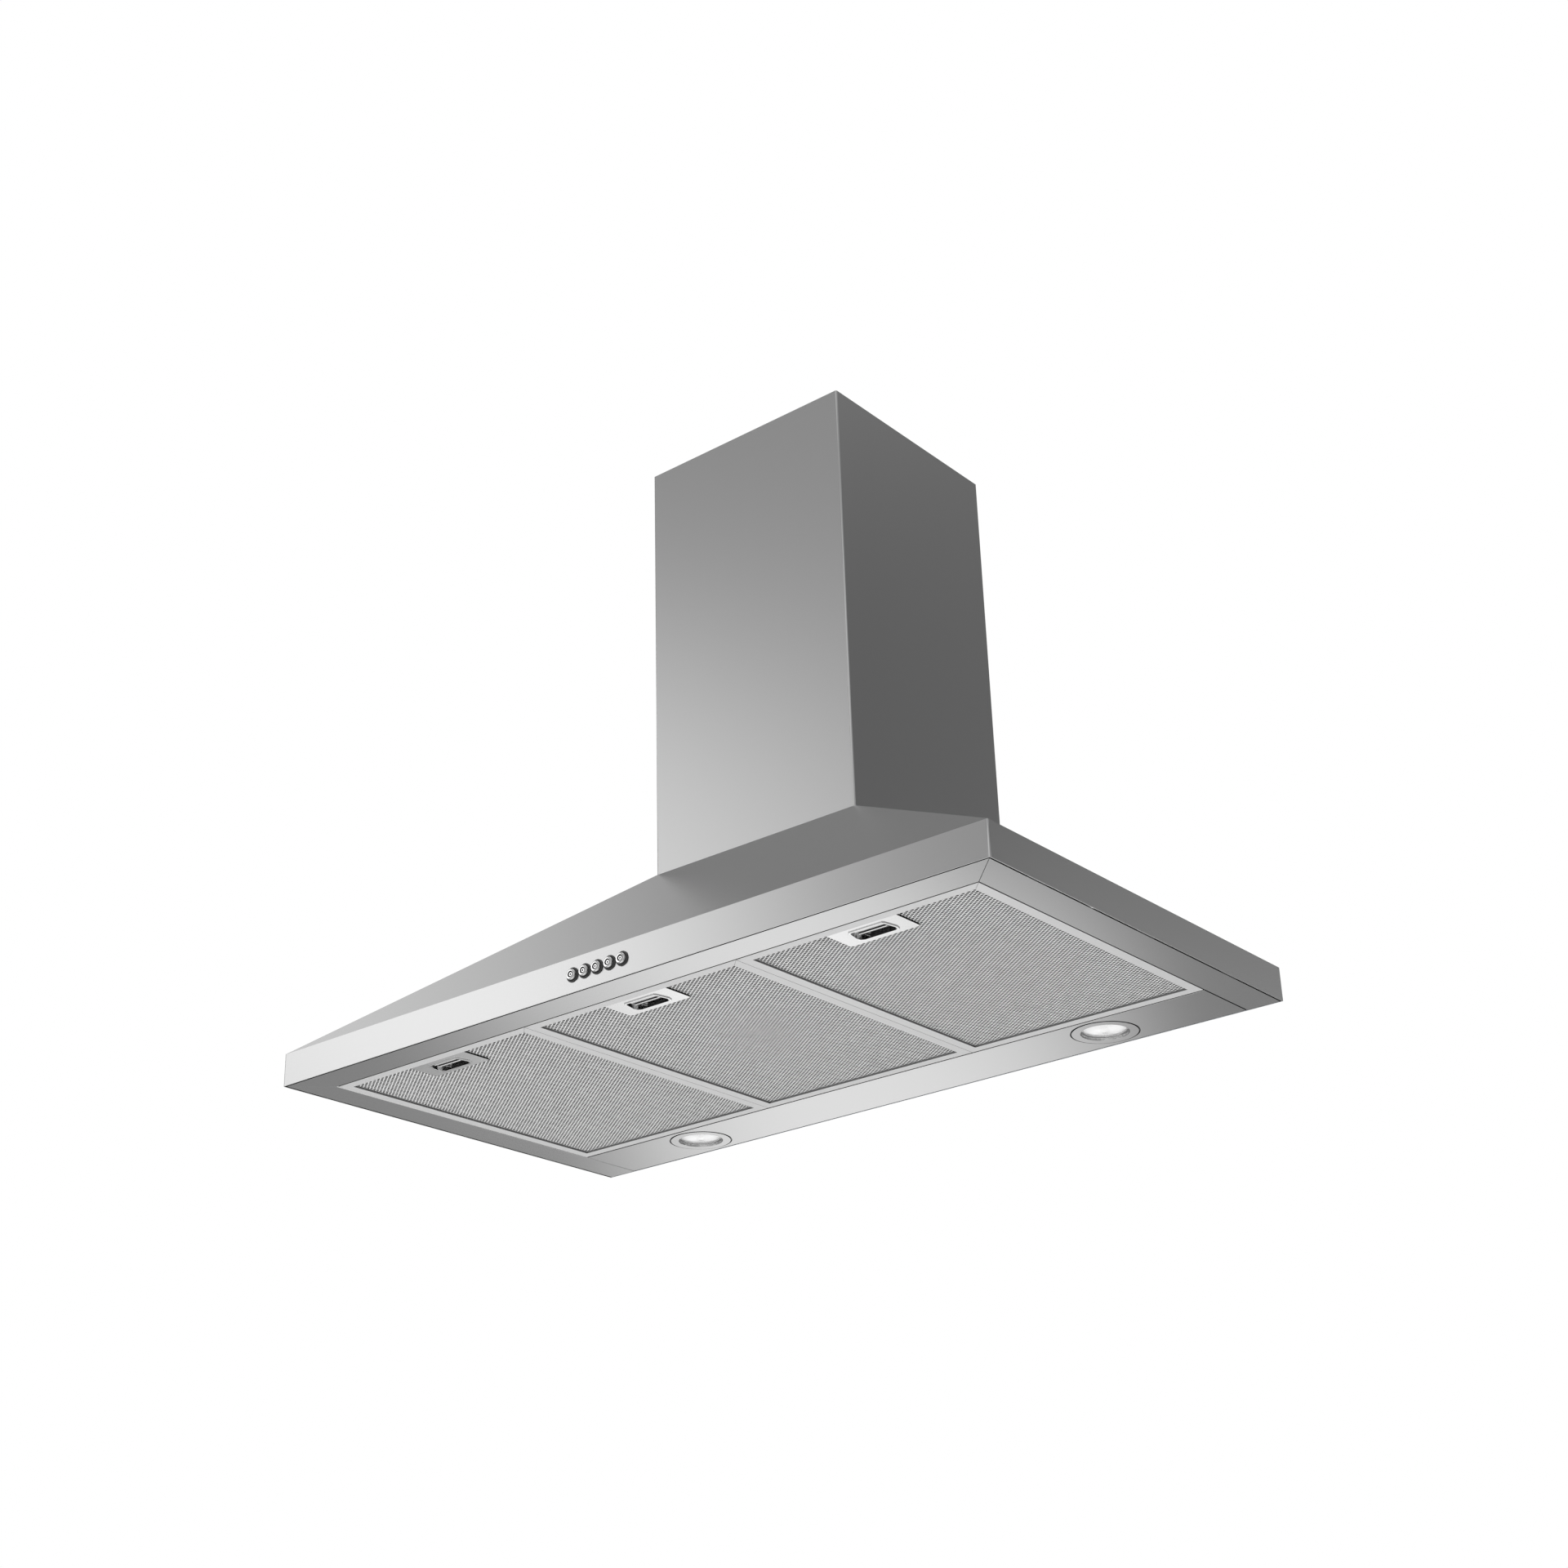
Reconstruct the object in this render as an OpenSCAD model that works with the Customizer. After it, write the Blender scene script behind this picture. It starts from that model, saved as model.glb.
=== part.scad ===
// Wall mount range hood with a pyramid canopy and a telescopic chimney cover.
// Front faces -Y, the wall is the plane y = 0, and +Z is up. The pieces are drawn with z = 0
// at the underside of the canopy, and place() moves the origin to the middle of the wall screws.

/* [Canopy] */
// Width of the canopy
canopy_w = 900; // [840:10:1200]
// Depth of the canopy from the wall to its front
canopy_d = 500; // [480:5:600]
// Height of the straight rim
rim_h = 35; // [32:1:60]
// Height of the sloping skirt above the rim
skirt_h = 185; // [175:5:260]
// Thickness of the steel sheet
sheet_t = 1; // [0.8:0.1:1.4]
// Width of the flat border in front of and beside the filters
strip_w = 40; // [36:1:60]
// Depth of the rear panel that carries the lamps
lamp_panel_d = 83; // [80:1:120]

/* [Chimney] */
// Width of the lower chimney cover
chimney_w = 270; // [262:2:320]
// Depth of the lower chimney cover
chimney_d = 265; // [262:1:320]
// Height of the lower chimney cover
lower_h = 500; // [420:10:700]
// Sliding gap between the two covers
chimney_gap = 0.6; // [0.4:0.1:1.2]

/* [Filters] */
// Number of filters side by side
filter_count = 3; // [3:1:3]
// Height of a filter's frame
frame_h = 12; // [11:0.5:15]
// Width of the frame's flange seen from below
flange_w = 11; // [9:1:16]
// Depth of the mesh behind the frame's face
recess_h = 4.5; // [3.5:0.5:5]
// Thickness of the mesh pack
mesh_t = 5; // [3:0.5:6]
// Width of a strand of the expanded mesh
strand_w = 2.2; // [1.5:0.1:4]
// How far a latch slides back
latch_travel = 6; // [3:0.5:6]

/* [Controls] */
// Number of push buttons
button_count = 5; // [5:1:5]
// Distance between two buttons
button_pitch = 16; // [15:0.5:20]
// Radius of a button's cap
button_r = 5.5; // [4.5:0.1:6]
// How far a button stands out of the rim
button_out = 4; // [4:0.5:8]
// How far a button is pressed in
button_travel = 3; // [1:0.5:3]

/* [Lamps] */
// Distance of each lamp from the side strip
lamp_in = 139; // [80:1:230]
// Radius of a lamp's flat ring
lamp_r = 34; // [30:0.5:34]
// Radius of the lamp's glass
glass_r = 23.5; // [20:0.5:25]

/* [Blower] */
// Radius of the blower wheel
wheel_r = 60; // [52:1:62]
// Number of blades on the wheel
blade_count = 40; // [24:1:44]
// Inside width of the volute along the shaft
volute_w = 128; // [122:1:140]
// Outside radius of the duct collar
collar_r = 74.5; // [70:0.5:80]
// Height of the duct collar above the blower box
collar_h = 50; // [46:1:70]

/* [Mounting] */
// Distance between the wall screws across the hood
screw_x = 400; // [300:10:420]
// Distance between the upper and lower wall screws
screw_dz = 80; // [50:5:90]
// Height of the middle of the wall screws above the underside
screw_z = 120; // [110:5:120]
// Radius of a wall screw's hole
screw_hole_r = 4; // [3:0.5:5]
// Distance between the screws of the upper chimney's bracket
bracket_x = 150; // [100:10:180]

/* [Hidden] */
$fn = 64;

// One overrun serves all cuts, and one seam is left between sheets that meet.
over = 5;
seam = 0.4;
// Radial play of a shaft that turns or slides in its hole
run_play = 0.05;

// Heights that the canopy gives
neck_z = rim_h + skirt_h;
side_run = (canopy_w - chimney_w) / 2;
front_run = canopy_d - chimney_d;
neck_lip = 12;
rim_bend_r = 1;
fold_in_r = 0.4;
fold_r = sheet_t + fold_in_r;

// Opening that the strips and the lamp panel leave for the filters
opening_w = canopy_w - 2 * strip_w;
opening_front = -canopy_d + strip_w;
strip_inner_h = 16;

// Switch body behind the rim, and the strip's lip that stays below it
button_z = rim_h / 2;
switch_h = 18;
switch_d = 20;
switch_end = 12;
strip_lip_h = button_z - switch_h / 2 - seam;

// Open groove between the rim and the border, and the angles that bridge it out of sight
rim_groove = 1.8;
lug_l = 30;
lug_foot = 8;
lug_shares = [-0.38, -0.13, 0.13, 0.38];
side_lug_shares = [0.2, 0.5, 0.85];
collar_wall = 1;
collar_gap = 0.3;
collar_out = 0.8;
collar_face = 0.6;
sleeve_l = 3;
stem_r = 2.5;
cap_h = 8;
dish_r = 3.4;
dish_depth = 0.7;
cap_edge = 0.8;
stem_l = 16;

// Filters
frame_t = 1;
top_lip_w = 6;
front_gap = 0.5;
rear_gap = 1.2;
side_gap = 0.4;
filter_w = (opening_w - (filter_count + 1) * side_gap) / filter_count;
filter_front = opening_front + front_gap;
filter_rear = -lamp_panel_d - rear_gap;
filter_d = filter_rear - filter_front;
filter_pitch = filter_w + side_gap;
mitre_groove_w = 0.3;
mitre_groove_h = 0.4;
hook_w = 30;
hook_l = 8;
hook_t = 1;
hook_play = 0.3;
hook_z = sheet_t + hook_play;
hook_x = filter_w / 4;
hook_slot_h = 7;
hook_slot_play = 1;
mesh_play = 0.2;
mesh_cols = 10;
mesh_rows = 13;

// Latch of a filter: plate, bezel with its cup, and sliding bar
plate_w = 78;
plate_d = 37;
plate_z = 0.4;
plate_t = 1;
plate_corner_r = 3;
bezel_w = 47;
bezel_d = 25;
bezel_rim = 2;
bezel_out = 0.6;
cup_wall = 1;
stem_w = 14;
stem_t = 2;
stem_play = 0.3;
stem_z = recess_h + stem_play;
cup_top_z = stem_z + stem_t + stem_play;
grip_play = 0.5;
grip_d = bezel_d - 2 * bezel_rim - latch_travel - 2 * grip_play;
grip_w = 31.5;
grip_z = 2;
ridge_r = 1.1;
ridge_count = 2;
ridge_inset = 4;
tongue_gap = 0.3;
latch_y = filter_front + flange_w + plate_d / 2;
// Outline of the bezel from its front edge round, in shares of its width and depth
bezel_shares = [
    [-0.4, -0.5], [0.4, -0.5], [0.44, -0.4], [0.5, 0.2], [0.47, 0.42], [0.4, 0.5],
    [-0.4, 0.5], [-0.47, 0.42], [-0.5, 0.2], [-0.44, -0.4]
];

// Lamps
lamp_x = opening_w / 2 - lamp_in;
lamp_y = -(lamp_panel_d + sheet_t + seam) / 2;
lamp_gap = 1.6;
lamp_flange_w = 3;
lamp_flange_t = 1;
lamp_out = 0.4;
bezel_bore_out = 1.5;
bezel_bore_r = glass_r + bezel_bore_out;
glass_z = 4;
glass_t = 2;
glass_sag = 1.2;
seat_w = 1.5;
reflector_h = 26;
reflector_t = 1;
reflector_neck_r = 9;
// Waist of the reflector, in shares of its width and height
waist_shares = [0.86, 0.45];
socket_h = 14;
socket_r = 12;

// Blower box and volute
deck_t = 1.2;
deck_rim = 5;
deck_top = neck_z - sheet_t;
box_side = 15;
box_w = chimney_w - 2 * box_side;
box_end = 15;
box_d = chimney_d - 2 * box_end;
box_y = -chimney_d / 2;
box_foot_w = 12;
scroll_t = 2;
volute_gap = 6;
step_share = 0.3;
volute_step = step_share * wheel_r;
volute_r = wheel_r + volute_gap;
volute_left = volute_r + 1.5 * volute_step;
volute_right = volute_r + 3.5 * volute_step;
volute_bottom = volute_r + 2.5 * volute_step;
floor_gap = 8;
throat_h = 114;
shaft_y = box_y - (volute_right - volute_left) / 2;
shaft_z = deck_top + floor_gap + scroll_t + volute_bottom;
box_top = shaft_z + throat_h + sheet_t;
throat_left = 54;
throat_foot = 30;
inlet_lap = 8;
inlet_r = wheel_r - inlet_lap;
split_flange = 3;
split_flange_t = 2;

// Wheel and motor
wheel_gap = 6;
wheel_w = volute_w - 2 * wheel_gap;
blade_depth = 10;
blade_t = 1;
blade_curve_r = 9;
ring_t = 2;
disc_x = 8;
disc_t = 2;
hub_r = 12;
hub_l = 14;
shaft_r = 4;
motor_r = 40;
motor_end_gap = 2;
motor_x = -volute_w / 2 - scroll_t;
motor_fin_count = 12;
motor_fin_t = 2;
motor_fin_h = 3;
motor_fin_in = 3;
bearing_r = 11;
bearing_h = 4;
shaft_in = 50;
shaft_out = 2;

// Bell-mouth rings at the two inlets, and the bracket that holds the motor in the left one
bell_r = 6;
bell_t = 1.5;
throat_l = 4;
ring_flange_w = 10;
arm_count = 3;
arm_w = 12;
arm_t = 3;
bracket_ring_w = 3;
bracket_hub_r = 30;

// Duct collar and damper
collar_t = 1.5;
collar_flange_w = 12;
collar_flange_r = collar_r + collar_flange_w;
collar_flange_t = 1.2;
collar_screw_in = 5;
collar_screw_r = collar_flange_r - collar_screw_in;
ledge_z = 14;
ledge_w = 3;
ledge_t = 1.5;
flap_t = 1.2;
flap_rest = 0.2;
flap_gap = 0.6;
flap_split = 0.4;
pin_r = 1.5;
knuckle_r = 2.6;
knuckle_l = 14;
knuckle_gap = 0.5;
knuckle_x = 36;
pin_play = 0.1;
flap_drop = pin_r + pin_play;
flap_relief = 3.2;
pin_z = box_top + ledge_z + ledge_t + flap_rest + flap_t + flap_drop;

// Chimney covers
cover_bend_r = 1;
return_w = 15;
tab_l = 40;
tab_w = 10;
upper_foot = 2.5;
upper_w = chimney_w - 2 * (sheet_t + chimney_gap);
upper_d = chimney_d - sheet_t - chimney_gap;
upper_back = sheet_t + chimney_gap;
top_inset = 1;
upper_top = neck_z + lower_h - top_inset;
upper_bottom = neck_z + upper_foot;
vent_count = 6;
vent_w = 6;
vent_l = 90;
vent_pitch = 14;
vent_top = 50;

// Bracket of the upper cover
bracket_h = 40;
bracket_drop = 60;
bracket_ear = 30;
bracket_leg = 12;
bracket_side_gap = 2;
bracket_hole_r = 3.5;

// Terminal box on the back panel
term_w = 90;
term_d = 36;
term_h = 60;
term_t = 2;
term_x = -105;
term_z = 120;
lid_t = 2;
gland_in = 10;
gland_r = 7;
gland_bore_r = 4;
gland_l = 16;
gland_nut_h = 6;
gland_nut_r = 9;
cable_slot_r = 5.5;
cap_body_r = 15;
cap_body_l = 58;
cap_x = 75;
cap_clip_t = 2;
cap_clip_h = 20;

// Screws
screw_shank_r = 2;
screw_head_r = 4;
screw_head_h = 2.5;
screw_play = 0.1;
screw_grip = 6;
lid_screw_inset = 7;
deck_screw_in = 6;

// Half width of the skirt at height z, inset by the sheet at right angles to its slope
function slope_inset(inset, run) = inset * norm([run, skirt_h]) / skirt_h;
function knee_z(inset, run) = rim_h - (slope_inset(inset, run) - inset) * skirt_h / run;
function side_at(z, inset) =
    canopy_w / 2 - slope_inset(inset, side_run) - (z - rim_h) * side_run / skirt_h;
function front_at(z, inset) =
    -canopy_d + slope_inset(inset, front_run) + (z - rim_h) * front_run / skirt_h;
function filter_x(n) = (n - (filter_count - 1) / 2) * filter_pitch;
function button_x(n) = (n - (button_count - 1) / 2) * button_pitch;

// Moves the origin from the underside to the middle of the wall screws
module place() {
    translate([0, 0, -screw_z]) children();
}

// Extrudes an outline drawn in X and Z from one y to another
module along_y(from, to) {
    translate([0, to, 0]) rotate([90, 0, 0]) linear_extrude(to - from) children();
}

// Extrudes an outline drawn in Y and Z from one x to another
module along_x(from, to) {
    translate([from, 0, 0]) rotate([90, 0, 90]) linear_extrude(to - from) children();
}

// A rectangle centred on X whose front corners are round
module front_rounded(w, front, back, r) {
    translate([-w / 2, front + r]) square([w, back - front - r]);
    translate([-w / 2 + r, front]) square([w - 2 * r, r + over]);
    for (side = [-1, 1]) translate([side * (w / 2 - r), front + r]) circle(r);
}

// One quarter of a bend, open towards +X and +Y
module bend(r, t) {
    intersection() {
        difference() {
            circle(r);
            circle(r - t);
        }
        translate([-r, -r]) square([r, r]);
    }
}

// Folded channel seen from its end: a flat base with a lip on each side
module channel(w, left_h, right_h) {
    translate([fold_r, 0]) square([w - 2 * fold_r, sheet_t]);
    translate([0, fold_r]) square([sheet_t, left_h - fold_r]);
    translate([w - sheet_t, fold_r]) square([sheet_t, right_h - fold_r]);
    translate([fold_r, fold_r]) bend(fold_r, sheet_t);
    translate([w - fold_r, fold_r]) mirror([1, 0]) bend(fold_r, sheet_t);
}

// Border seen from its end: a raw edge beside the rim's groove, and a lip at the opening
module border(w) {
    edge = rim_groove - seam;
    translate([edge, 0]) square([w - edge - fold_r, sheet_t]);
    translate([w - sheet_t, fold_r]) square([sheet_t, strip_inner_h - fold_r]);
    translate([w - fold_r, fold_r]) mirror([1, 0]) bend(fold_r, sheet_t);
}

// Angle that holds the border to the rim, seen from its end
module lug_2d() {
    translate([0, sheet_t]) {
        square([lug_foot, sheet_t]);
        square([sheet_t, strip_lip_h - sheet_t]);
    }
}

// A rectangular ring centred on X, from its front edge back
module ring_2d(w, front, back, wall) {
    difference() {
        translate([-w / 2, front]) square([w, back - front]);
        translate([-w / 2 + wall, front + wall]) square([w - 2 * wall, back - front - 2 * wall]);
    }
}

// Pan-head screw pointing up, its head's seat at z = 0
module screw(length) {
    translate([0, 0, -screw_head_h]) cylinder(h = screw_head_h, r = screw_head_r);
    cylinder(h = length, r = screw_shank_r);
}

// Rim and skirt as one solid between two heights, inset by a sheet's thickness
module hood_solid(inset, low, high, back) {
    side_knee = knee_z(inset, side_run);
    front_knee = knee_z(inset, front_run);
    rim_half = canopy_w / 2 - inset;
    intersection() {
        along_y(-canopy_d, back) polygon([
            [-rim_half, low], [rim_half, low], [rim_half, side_knee],
            [side_at(high, inset), high], [-side_at(high, inset), high],
            [-rim_half, side_knee]
        ]);
        along_x(-canopy_w / 2, canopy_w / 2) polygon([
            [-canopy_d + inset, low], [back, low], [back, high],
            [front_at(high, inset), high], [-canopy_d + inset, front_knee]
        ]);
        translate([0, 0, low]) linear_extrude(high - low)
            front_rounded(canopy_w - 2 * inset, -canopy_d + inset, back,
                sheet_t + rim_bend_r - inset);
    }
}

module canopy_shell() {
    color("silver") difference() {
        hood_solid(0, 0, neck_z, 0);
        hood_solid(sheet_t, -over, neck_z - sheet_t, over);
        // Opening in the neck's lip
        translate([-chimney_w / 2 + neck_lip, -chimney_d + neck_lip, neck_z - over])
            cube([chimney_w - 2 * neck_lip, chimney_d, 2 * over]);
        for (n = [0 : button_count - 1])
            translate([button_x(n), -canopy_d - over, button_z]) rotate([-90, 0, 0])
                cylinder(h = 2 * over, r = button_r + collar_gap + collar_face + run_play);
        chimney_screw_places() cylinder(h = 2 * over, r = screw_shank_r + screw_play);
        deck_screw_places() cylinder(h = 2 * over, r = screw_shank_r + screw_play);
    }
}

// Front strip, mitred where it meets the side strips
module front_strip() {
    gap = seam / 2;
    outer = canopy_w / 2 - sheet_t - seam;
    front = -canopy_d + sheet_t + seam;
    color("gainsboro") intersection() {
        union() {
            along_x(-outer, outer) translate([front, 0]) border(strip_w - sheet_t - seam);
            for (share = lug_shares)
                along_x(share * canopy_w - lug_l / 2, share * canopy_w + lug_l / 2)
                    translate([front, 0]) lug_2d();
        }
        translate([0, 0, -over]) linear_extrude(strip_inner_h + 2 * over) polygon([
            [-canopy_w / 2 + gap, -canopy_d], [canopy_w / 2 - gap, -canopy_d],
            [opening_w / 2 - gap, opening_front], [-opening_w / 2 + gap, opening_front]
        ]);
    }
}

// Right side strip; the left one is its mirror image
module side_strip() {
    gap = seam / 2;
    outer = canopy_w / 2 - sheet_t - seam;
    color("gainsboro") intersection() {
        union() {
            along_y(-canopy_d, -sheet_t - seam) translate([outer, 0]) mirror([1, 0])
                border(strip_w - sheet_t - seam);
            for (share = side_lug_shares)
                along_y(-share * canopy_d - lug_l / 2, -share * canopy_d + lug_l / 2)
                    translate([outer, 0]) mirror([1, 0]) lug_2d();
        }
        translate([0, 0, -over]) linear_extrude(strip_inner_h + 2 * over) polygon([
            [canopy_w / 2, -canopy_d + gap], [canopy_w / 2, 0],
            [opening_w / 2, 0], [opening_w / 2, opening_front + gap]
        ]);
    }
}

module lamp_panel() {
    half = opening_w / 2 - seam;
    color("gainsboro") difference() {
        along_x(-half, half) translate([-lamp_panel_d, 0])
            channel(lamp_panel_d - sheet_t - seam, strip_inner_h, strip_inner_h);
        for (side = [-1, 1]) translate([side * lamp_x, lamp_y, -over])
            cylinder(h = 2 * over, r = lamp_r + lamp_gap);
        // Slots for the hooks of the filters
        for (n = [0 : filter_count - 1], side = [-1, 1])
            translate([filter_x(n) + side * hook_x - hook_w / 2 - hook_slot_play,
                -lamp_panel_d - over, sheet_t])
                cube([hook_w + 2 * hook_slot_play, over + fold_r, hook_slot_h]);
    }
}

// Flat back with the holes for the wall screws
module back_panel() {
    half = canopy_w / 2 - sheet_t - seam;
    inset = sheet_t + seam;
    top = neck_z - sheet_t - deck_t - seam;
    color("lightsteelblue") difference() {
        along_y(-sheet_t, 0) polygon([
            [-half, 0], [half, 0], [half, knee_z(inset, side_run)],
            [side_at(top, inset), top], [-side_at(top, inset), top],
            [-half, knee_z(inset, side_run)]
        ]);
        for (side = [-1, 1], level = [-1, 1])
            translate([side * screw_x / 2, over, screw_z + level * screw_dz / 2])
                rotate([90, 0, 0]) cylinder(h = 3 * over, r = screw_hole_r);
    }
}

// Plate under the neck's lip that carries the blower box
module blower_deck() {
    w = chimney_w - 2 * deck_rim;
    hole_w = box_w - 2 * box_foot_w;
    hole_d = box_d - 2 * box_foot_w;
    color("lightsteelblue") difference() {
        translate([-w / 2, -chimney_d + deck_rim, deck_top - deck_t])
            cube([w, chimney_d - deck_rim - sheet_t - seam, deck_t]);
        translate([-hole_w / 2, box_y - hole_d / 2, deck_top - over])
            cube([hole_w, hole_d, 2 * over]);
        box_screw_places() cylinder(h = 2 * over, r = screw_shank_r + screw_play);
        deck_screw_places() cylinder(h = 2 * over, r = screw_shank_r + screw_play);
        chimney_screw_places() cylinder(h = 2 * over, r = screw_shank_r + screw_play);
        // Slot in the rear edge for the supply cable
        gland_place(deck_top - over) cylinder(h = 2 * over, r = cable_slot_r);
        gland_place(deck_top - over) translate([-cable_slot_r, 0, 0])
            cube([2 * cable_slot_r, gland_in + sheet_t, 2 * over]);
    }
}

// Places of the screws between deck and box, and between deck and neck
module box_screw_places() {
    x = box_w / 2 - deck_screw_in;
    y = box_d / 2 - deck_screw_in;
    for (i = [-1, 1], j = [-1, 1]) translate([i * x, box_y + j * y, deck_top - deck_t]) children();
}

module deck_screw_places() {
    x = chimney_w / 2 - neck_lip + (neck_lip - deck_rim) / 2;
    for (i = [-1, 1], j = [-1, 1])
        translate([i * x, box_y + j * box_d / 4, deck_top - deck_t]) children();
}

module deck_screws() {
    color("dimgray") {
        box_screw_places() screw(screw_grip);
        deck_screw_places() screw(deck_t + sheet_t);
    }
}

// Sheet box round the volute: open below, with a foot all round and a hole under the collar
module blower_box() {
    h = box_top - deck_top;
    color("lightsteelblue") difference() {
        translate([-box_w / 2, box_y - box_d / 2, deck_top]) cube([box_w, box_d, h]);
        translate([-box_w / 2 + sheet_t, box_y - box_d / 2 + sheet_t, deck_top + sheet_t])
            cube([box_w - 2 * sheet_t, box_d - 2 * sheet_t, h - 2 * sheet_t]);
        translate([-box_w / 2 + box_foot_w, box_y - box_d / 2 + box_foot_w, deck_top - over])
            cube([box_w - 2 * box_foot_w, box_d - 2 * box_foot_w, 2 * over]);
        translate([0, box_y, box_top - over])
            cylinder(h = 2 * over, r = collar_r - collar_t - ledge_w);
        box_screw_places() cylinder(h = 2 * over, r = screw_shank_r + screw_play);
        collar_screw_places() translate([0, 0, -over])
            cylinder(h = 2 * over, r = screw_shank_r + screw_play);
    }
}

// Volute outline: four quarter circles of growing radius, then a widening throat
module volute_2d(wall) {
    s = volute_step;
    square([s, s], center = true);
    for (k = [0 : 3]) {
        corner = (k == 0) ? [-s / 2, s / 2] : (k == 1) ? [-s / 2, -s / 2] :
            (k == 2) ? [s / 2, -s / 2] : [s / 2, s / 2];
        r = volute_r + k * s + wall;
        translate(corner) intersection() {
            circle(r, $fn = 96);
            rotate(90 * k) square([r, r]);
        }
    }
    polygon([
        [throat_foot - wall, s / 2], [volute_right + wall, s / 2],
        [volute_right + wall, throat_h], [-throat_left - wall, throat_h]
    ]);
}

// Half of the volute between the middle and one side plate, towards +X
module scroll_half() {
    half = volute_w / 2;
    color("whitesmoke") translate([0, shaft_y, shaft_z]) difference() {
        union() {
            along_x(0, half + scroll_t) volute_2d(scroll_t);
            // Flange along the split, under the throat's top
            along_x(0, split_flange_t) intersection() {
                volute_2d(scroll_t + split_flange);
                translate([-2 * volute_r, -volute_bottom - scroll_t])
                    square([2 * volute_r + volute_right + scroll_t, volute_bottom + throat_h / 2]);
            }
        }
        along_x(-over, half) volute_2d(0);
        rotate([0, 90, 0]) cylinder(h = half + 2 * scroll_t + over, r = inlet_r);
        // The throat is open at its top
        translate([-over, -throat_left, throat_h - over])
            cube([half + over, throat_left + volute_right, 2 * over]);
    }
}

// Bell-mouth ring on one side plate, towards +X
module inlet_ring() {
    color("whitesmoke") translate([volute_w / 2 + scroll_t, shaft_y, shaft_z])
        rotate([0, 90, 0]) rotate_extrude() {
            translate([inlet_r + bell_r, throat_l]) intersection() {
                difference() {
                    circle(bell_r);
                    circle(bell_r - bell_t);
                }
                translate([-bell_r, 0]) square([bell_r, bell_r]);
            }
            translate([inlet_r, 0]) square([bell_t, throat_l]);
            translate([inlet_r, 0]) square([ring_flange_w, bell_t]);
        }
}

// Motor with cooling fins and a bearing boss, its bore open towards the wheel
module motor() {
    length = disc_x - motor_end_gap - motor_x;
    bottom = shaft_in - run_play;
    color("dimgray") translate([motor_x, shaft_y, shaft_z]) rotate([0, 90, 0]) difference() {
        union() {
            cylinder(h = length - bearing_h, r = motor_r - motor_fin_h);
            for (k = [0 : motor_fin_count - 1]) rotate(360 / motor_fin_count * k)
                translate([0, -motor_fin_t / 2, motor_fin_in])
                    cube([motor_r, motor_fin_t, length - bearing_h - 2 * motor_fin_in]);
            cylinder(h = length, r = bearing_r);
        }
        translate([0, 0, length - bottom])
            cylinder(h = bottom + over, r = shaft_r + run_play);
    }
}

// Ring in the left inlet, three arms and a plate that the motor is screwed to
module motor_bracket() {
    ring_r = inlet_r - run_play;
    color("dimgray") translate([motor_x - arm_t, shaft_y, shaft_z]) rotate([0, 90, 0]) {
        cylinder(h = arm_t, r = bracket_hub_r);
        difference() {
            cylinder(h = arm_t, r = ring_r);
            translate([0, 0, -over]) cylinder(h = 3 * over, r = ring_r - bracket_ring_w);
        }
        for (k = [0 : arm_count - 1]) rotate(360 / arm_count * k)
            translate([0, -arm_w / 2, 0]) cube([ring_r - bracket_ring_w / 2, arm_w, arm_t]);
    }
}

module motor_shaft() {
    start = disc_x - motor_end_gap - shaft_in + 2 * run_play;
    end = disc_x + disc_t + hub_l + shaft_out;
    color("silver") translate([start, shaft_y, shaft_z]) rotate([0, 90, 0])
        cylinder(h = end - start, r = shaft_r);
}

// Wheel with forward-curved blades on both sides of a disc
module impeller() {
    inner_r = wheel_r - blade_depth;
    color("slategray") translate([-wheel_w / 2, shaft_y, shaft_z]) rotate([0, 90, 0])
        difference() {
            union() {
                linear_extrude(wheel_w) intersection() {
                    difference() {
                        circle(wheel_r);
                        circle(inner_r);
                    }
                    for (k = [0 : blade_count - 1]) rotate(360 / blade_count * k)
                        translate([inner_r + blade_depth / 2, blade_curve_r - blade_t])
                            difference() {
                                circle(blade_curve_r);
                                circle(blade_curve_r - blade_t);
                                translate([-blade_curve_r, 0])
                                    square([2 * blade_curve_r, blade_curve_r]);
                            }
                }
                for (z = [0, wheel_w - ring_t]) translate([0, 0, z]) difference() {
                    cylinder(h = ring_t, r = wheel_r);
                    translate([0, 0, -over])
                        cylinder(h = ring_t + 2 * over, r = inner_r + blade_depth / 2);
                }
                translate([0, 0, wheel_w / 2 + disc_x]) {
                    cylinder(h = disc_t, r = wheel_r - blade_t);
                    cylinder(h = disc_t + hub_l, r = hub_r);
                }
            }
            cylinder(h = wheel_w + over, r = shaft_r);
        }
}

// Round collar for the duct, with a flange below and a ledge that the flaps rest on
module duct_collar() {
    inner = collar_r - collar_t;
    color("lightsteelblue") translate([0, box_y, box_top]) difference() {
        union() {
            cylinder(h = collar_h, r = collar_r, $fn = 96);
            cylinder(h = collar_flange_t, r = collar_flange_r, $fn = 96);
        }
        translate([0, 0, ledge_z + ledge_t]) cylinder(h = collar_h, r = inner, $fn = 96);
        translate([0, 0, -over]) cylinder(h = ledge_z + over, r = inner, $fn = 96);
        cylinder(h = collar_h, r = inner - ledge_w, $fn = 96);
        translate([-collar_r - over, 0, pin_z - box_top]) rotate([0, 90, 0])
            cylinder(h = 2 * (collar_r + over), r = pin_r + run_play);
        translate([0, -box_y, -box_top]) collar_screw_places() translate([0, 0, -over])
            cylinder(h = 2 * over, r = screw_shank_r + screw_play);
    }
}

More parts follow.
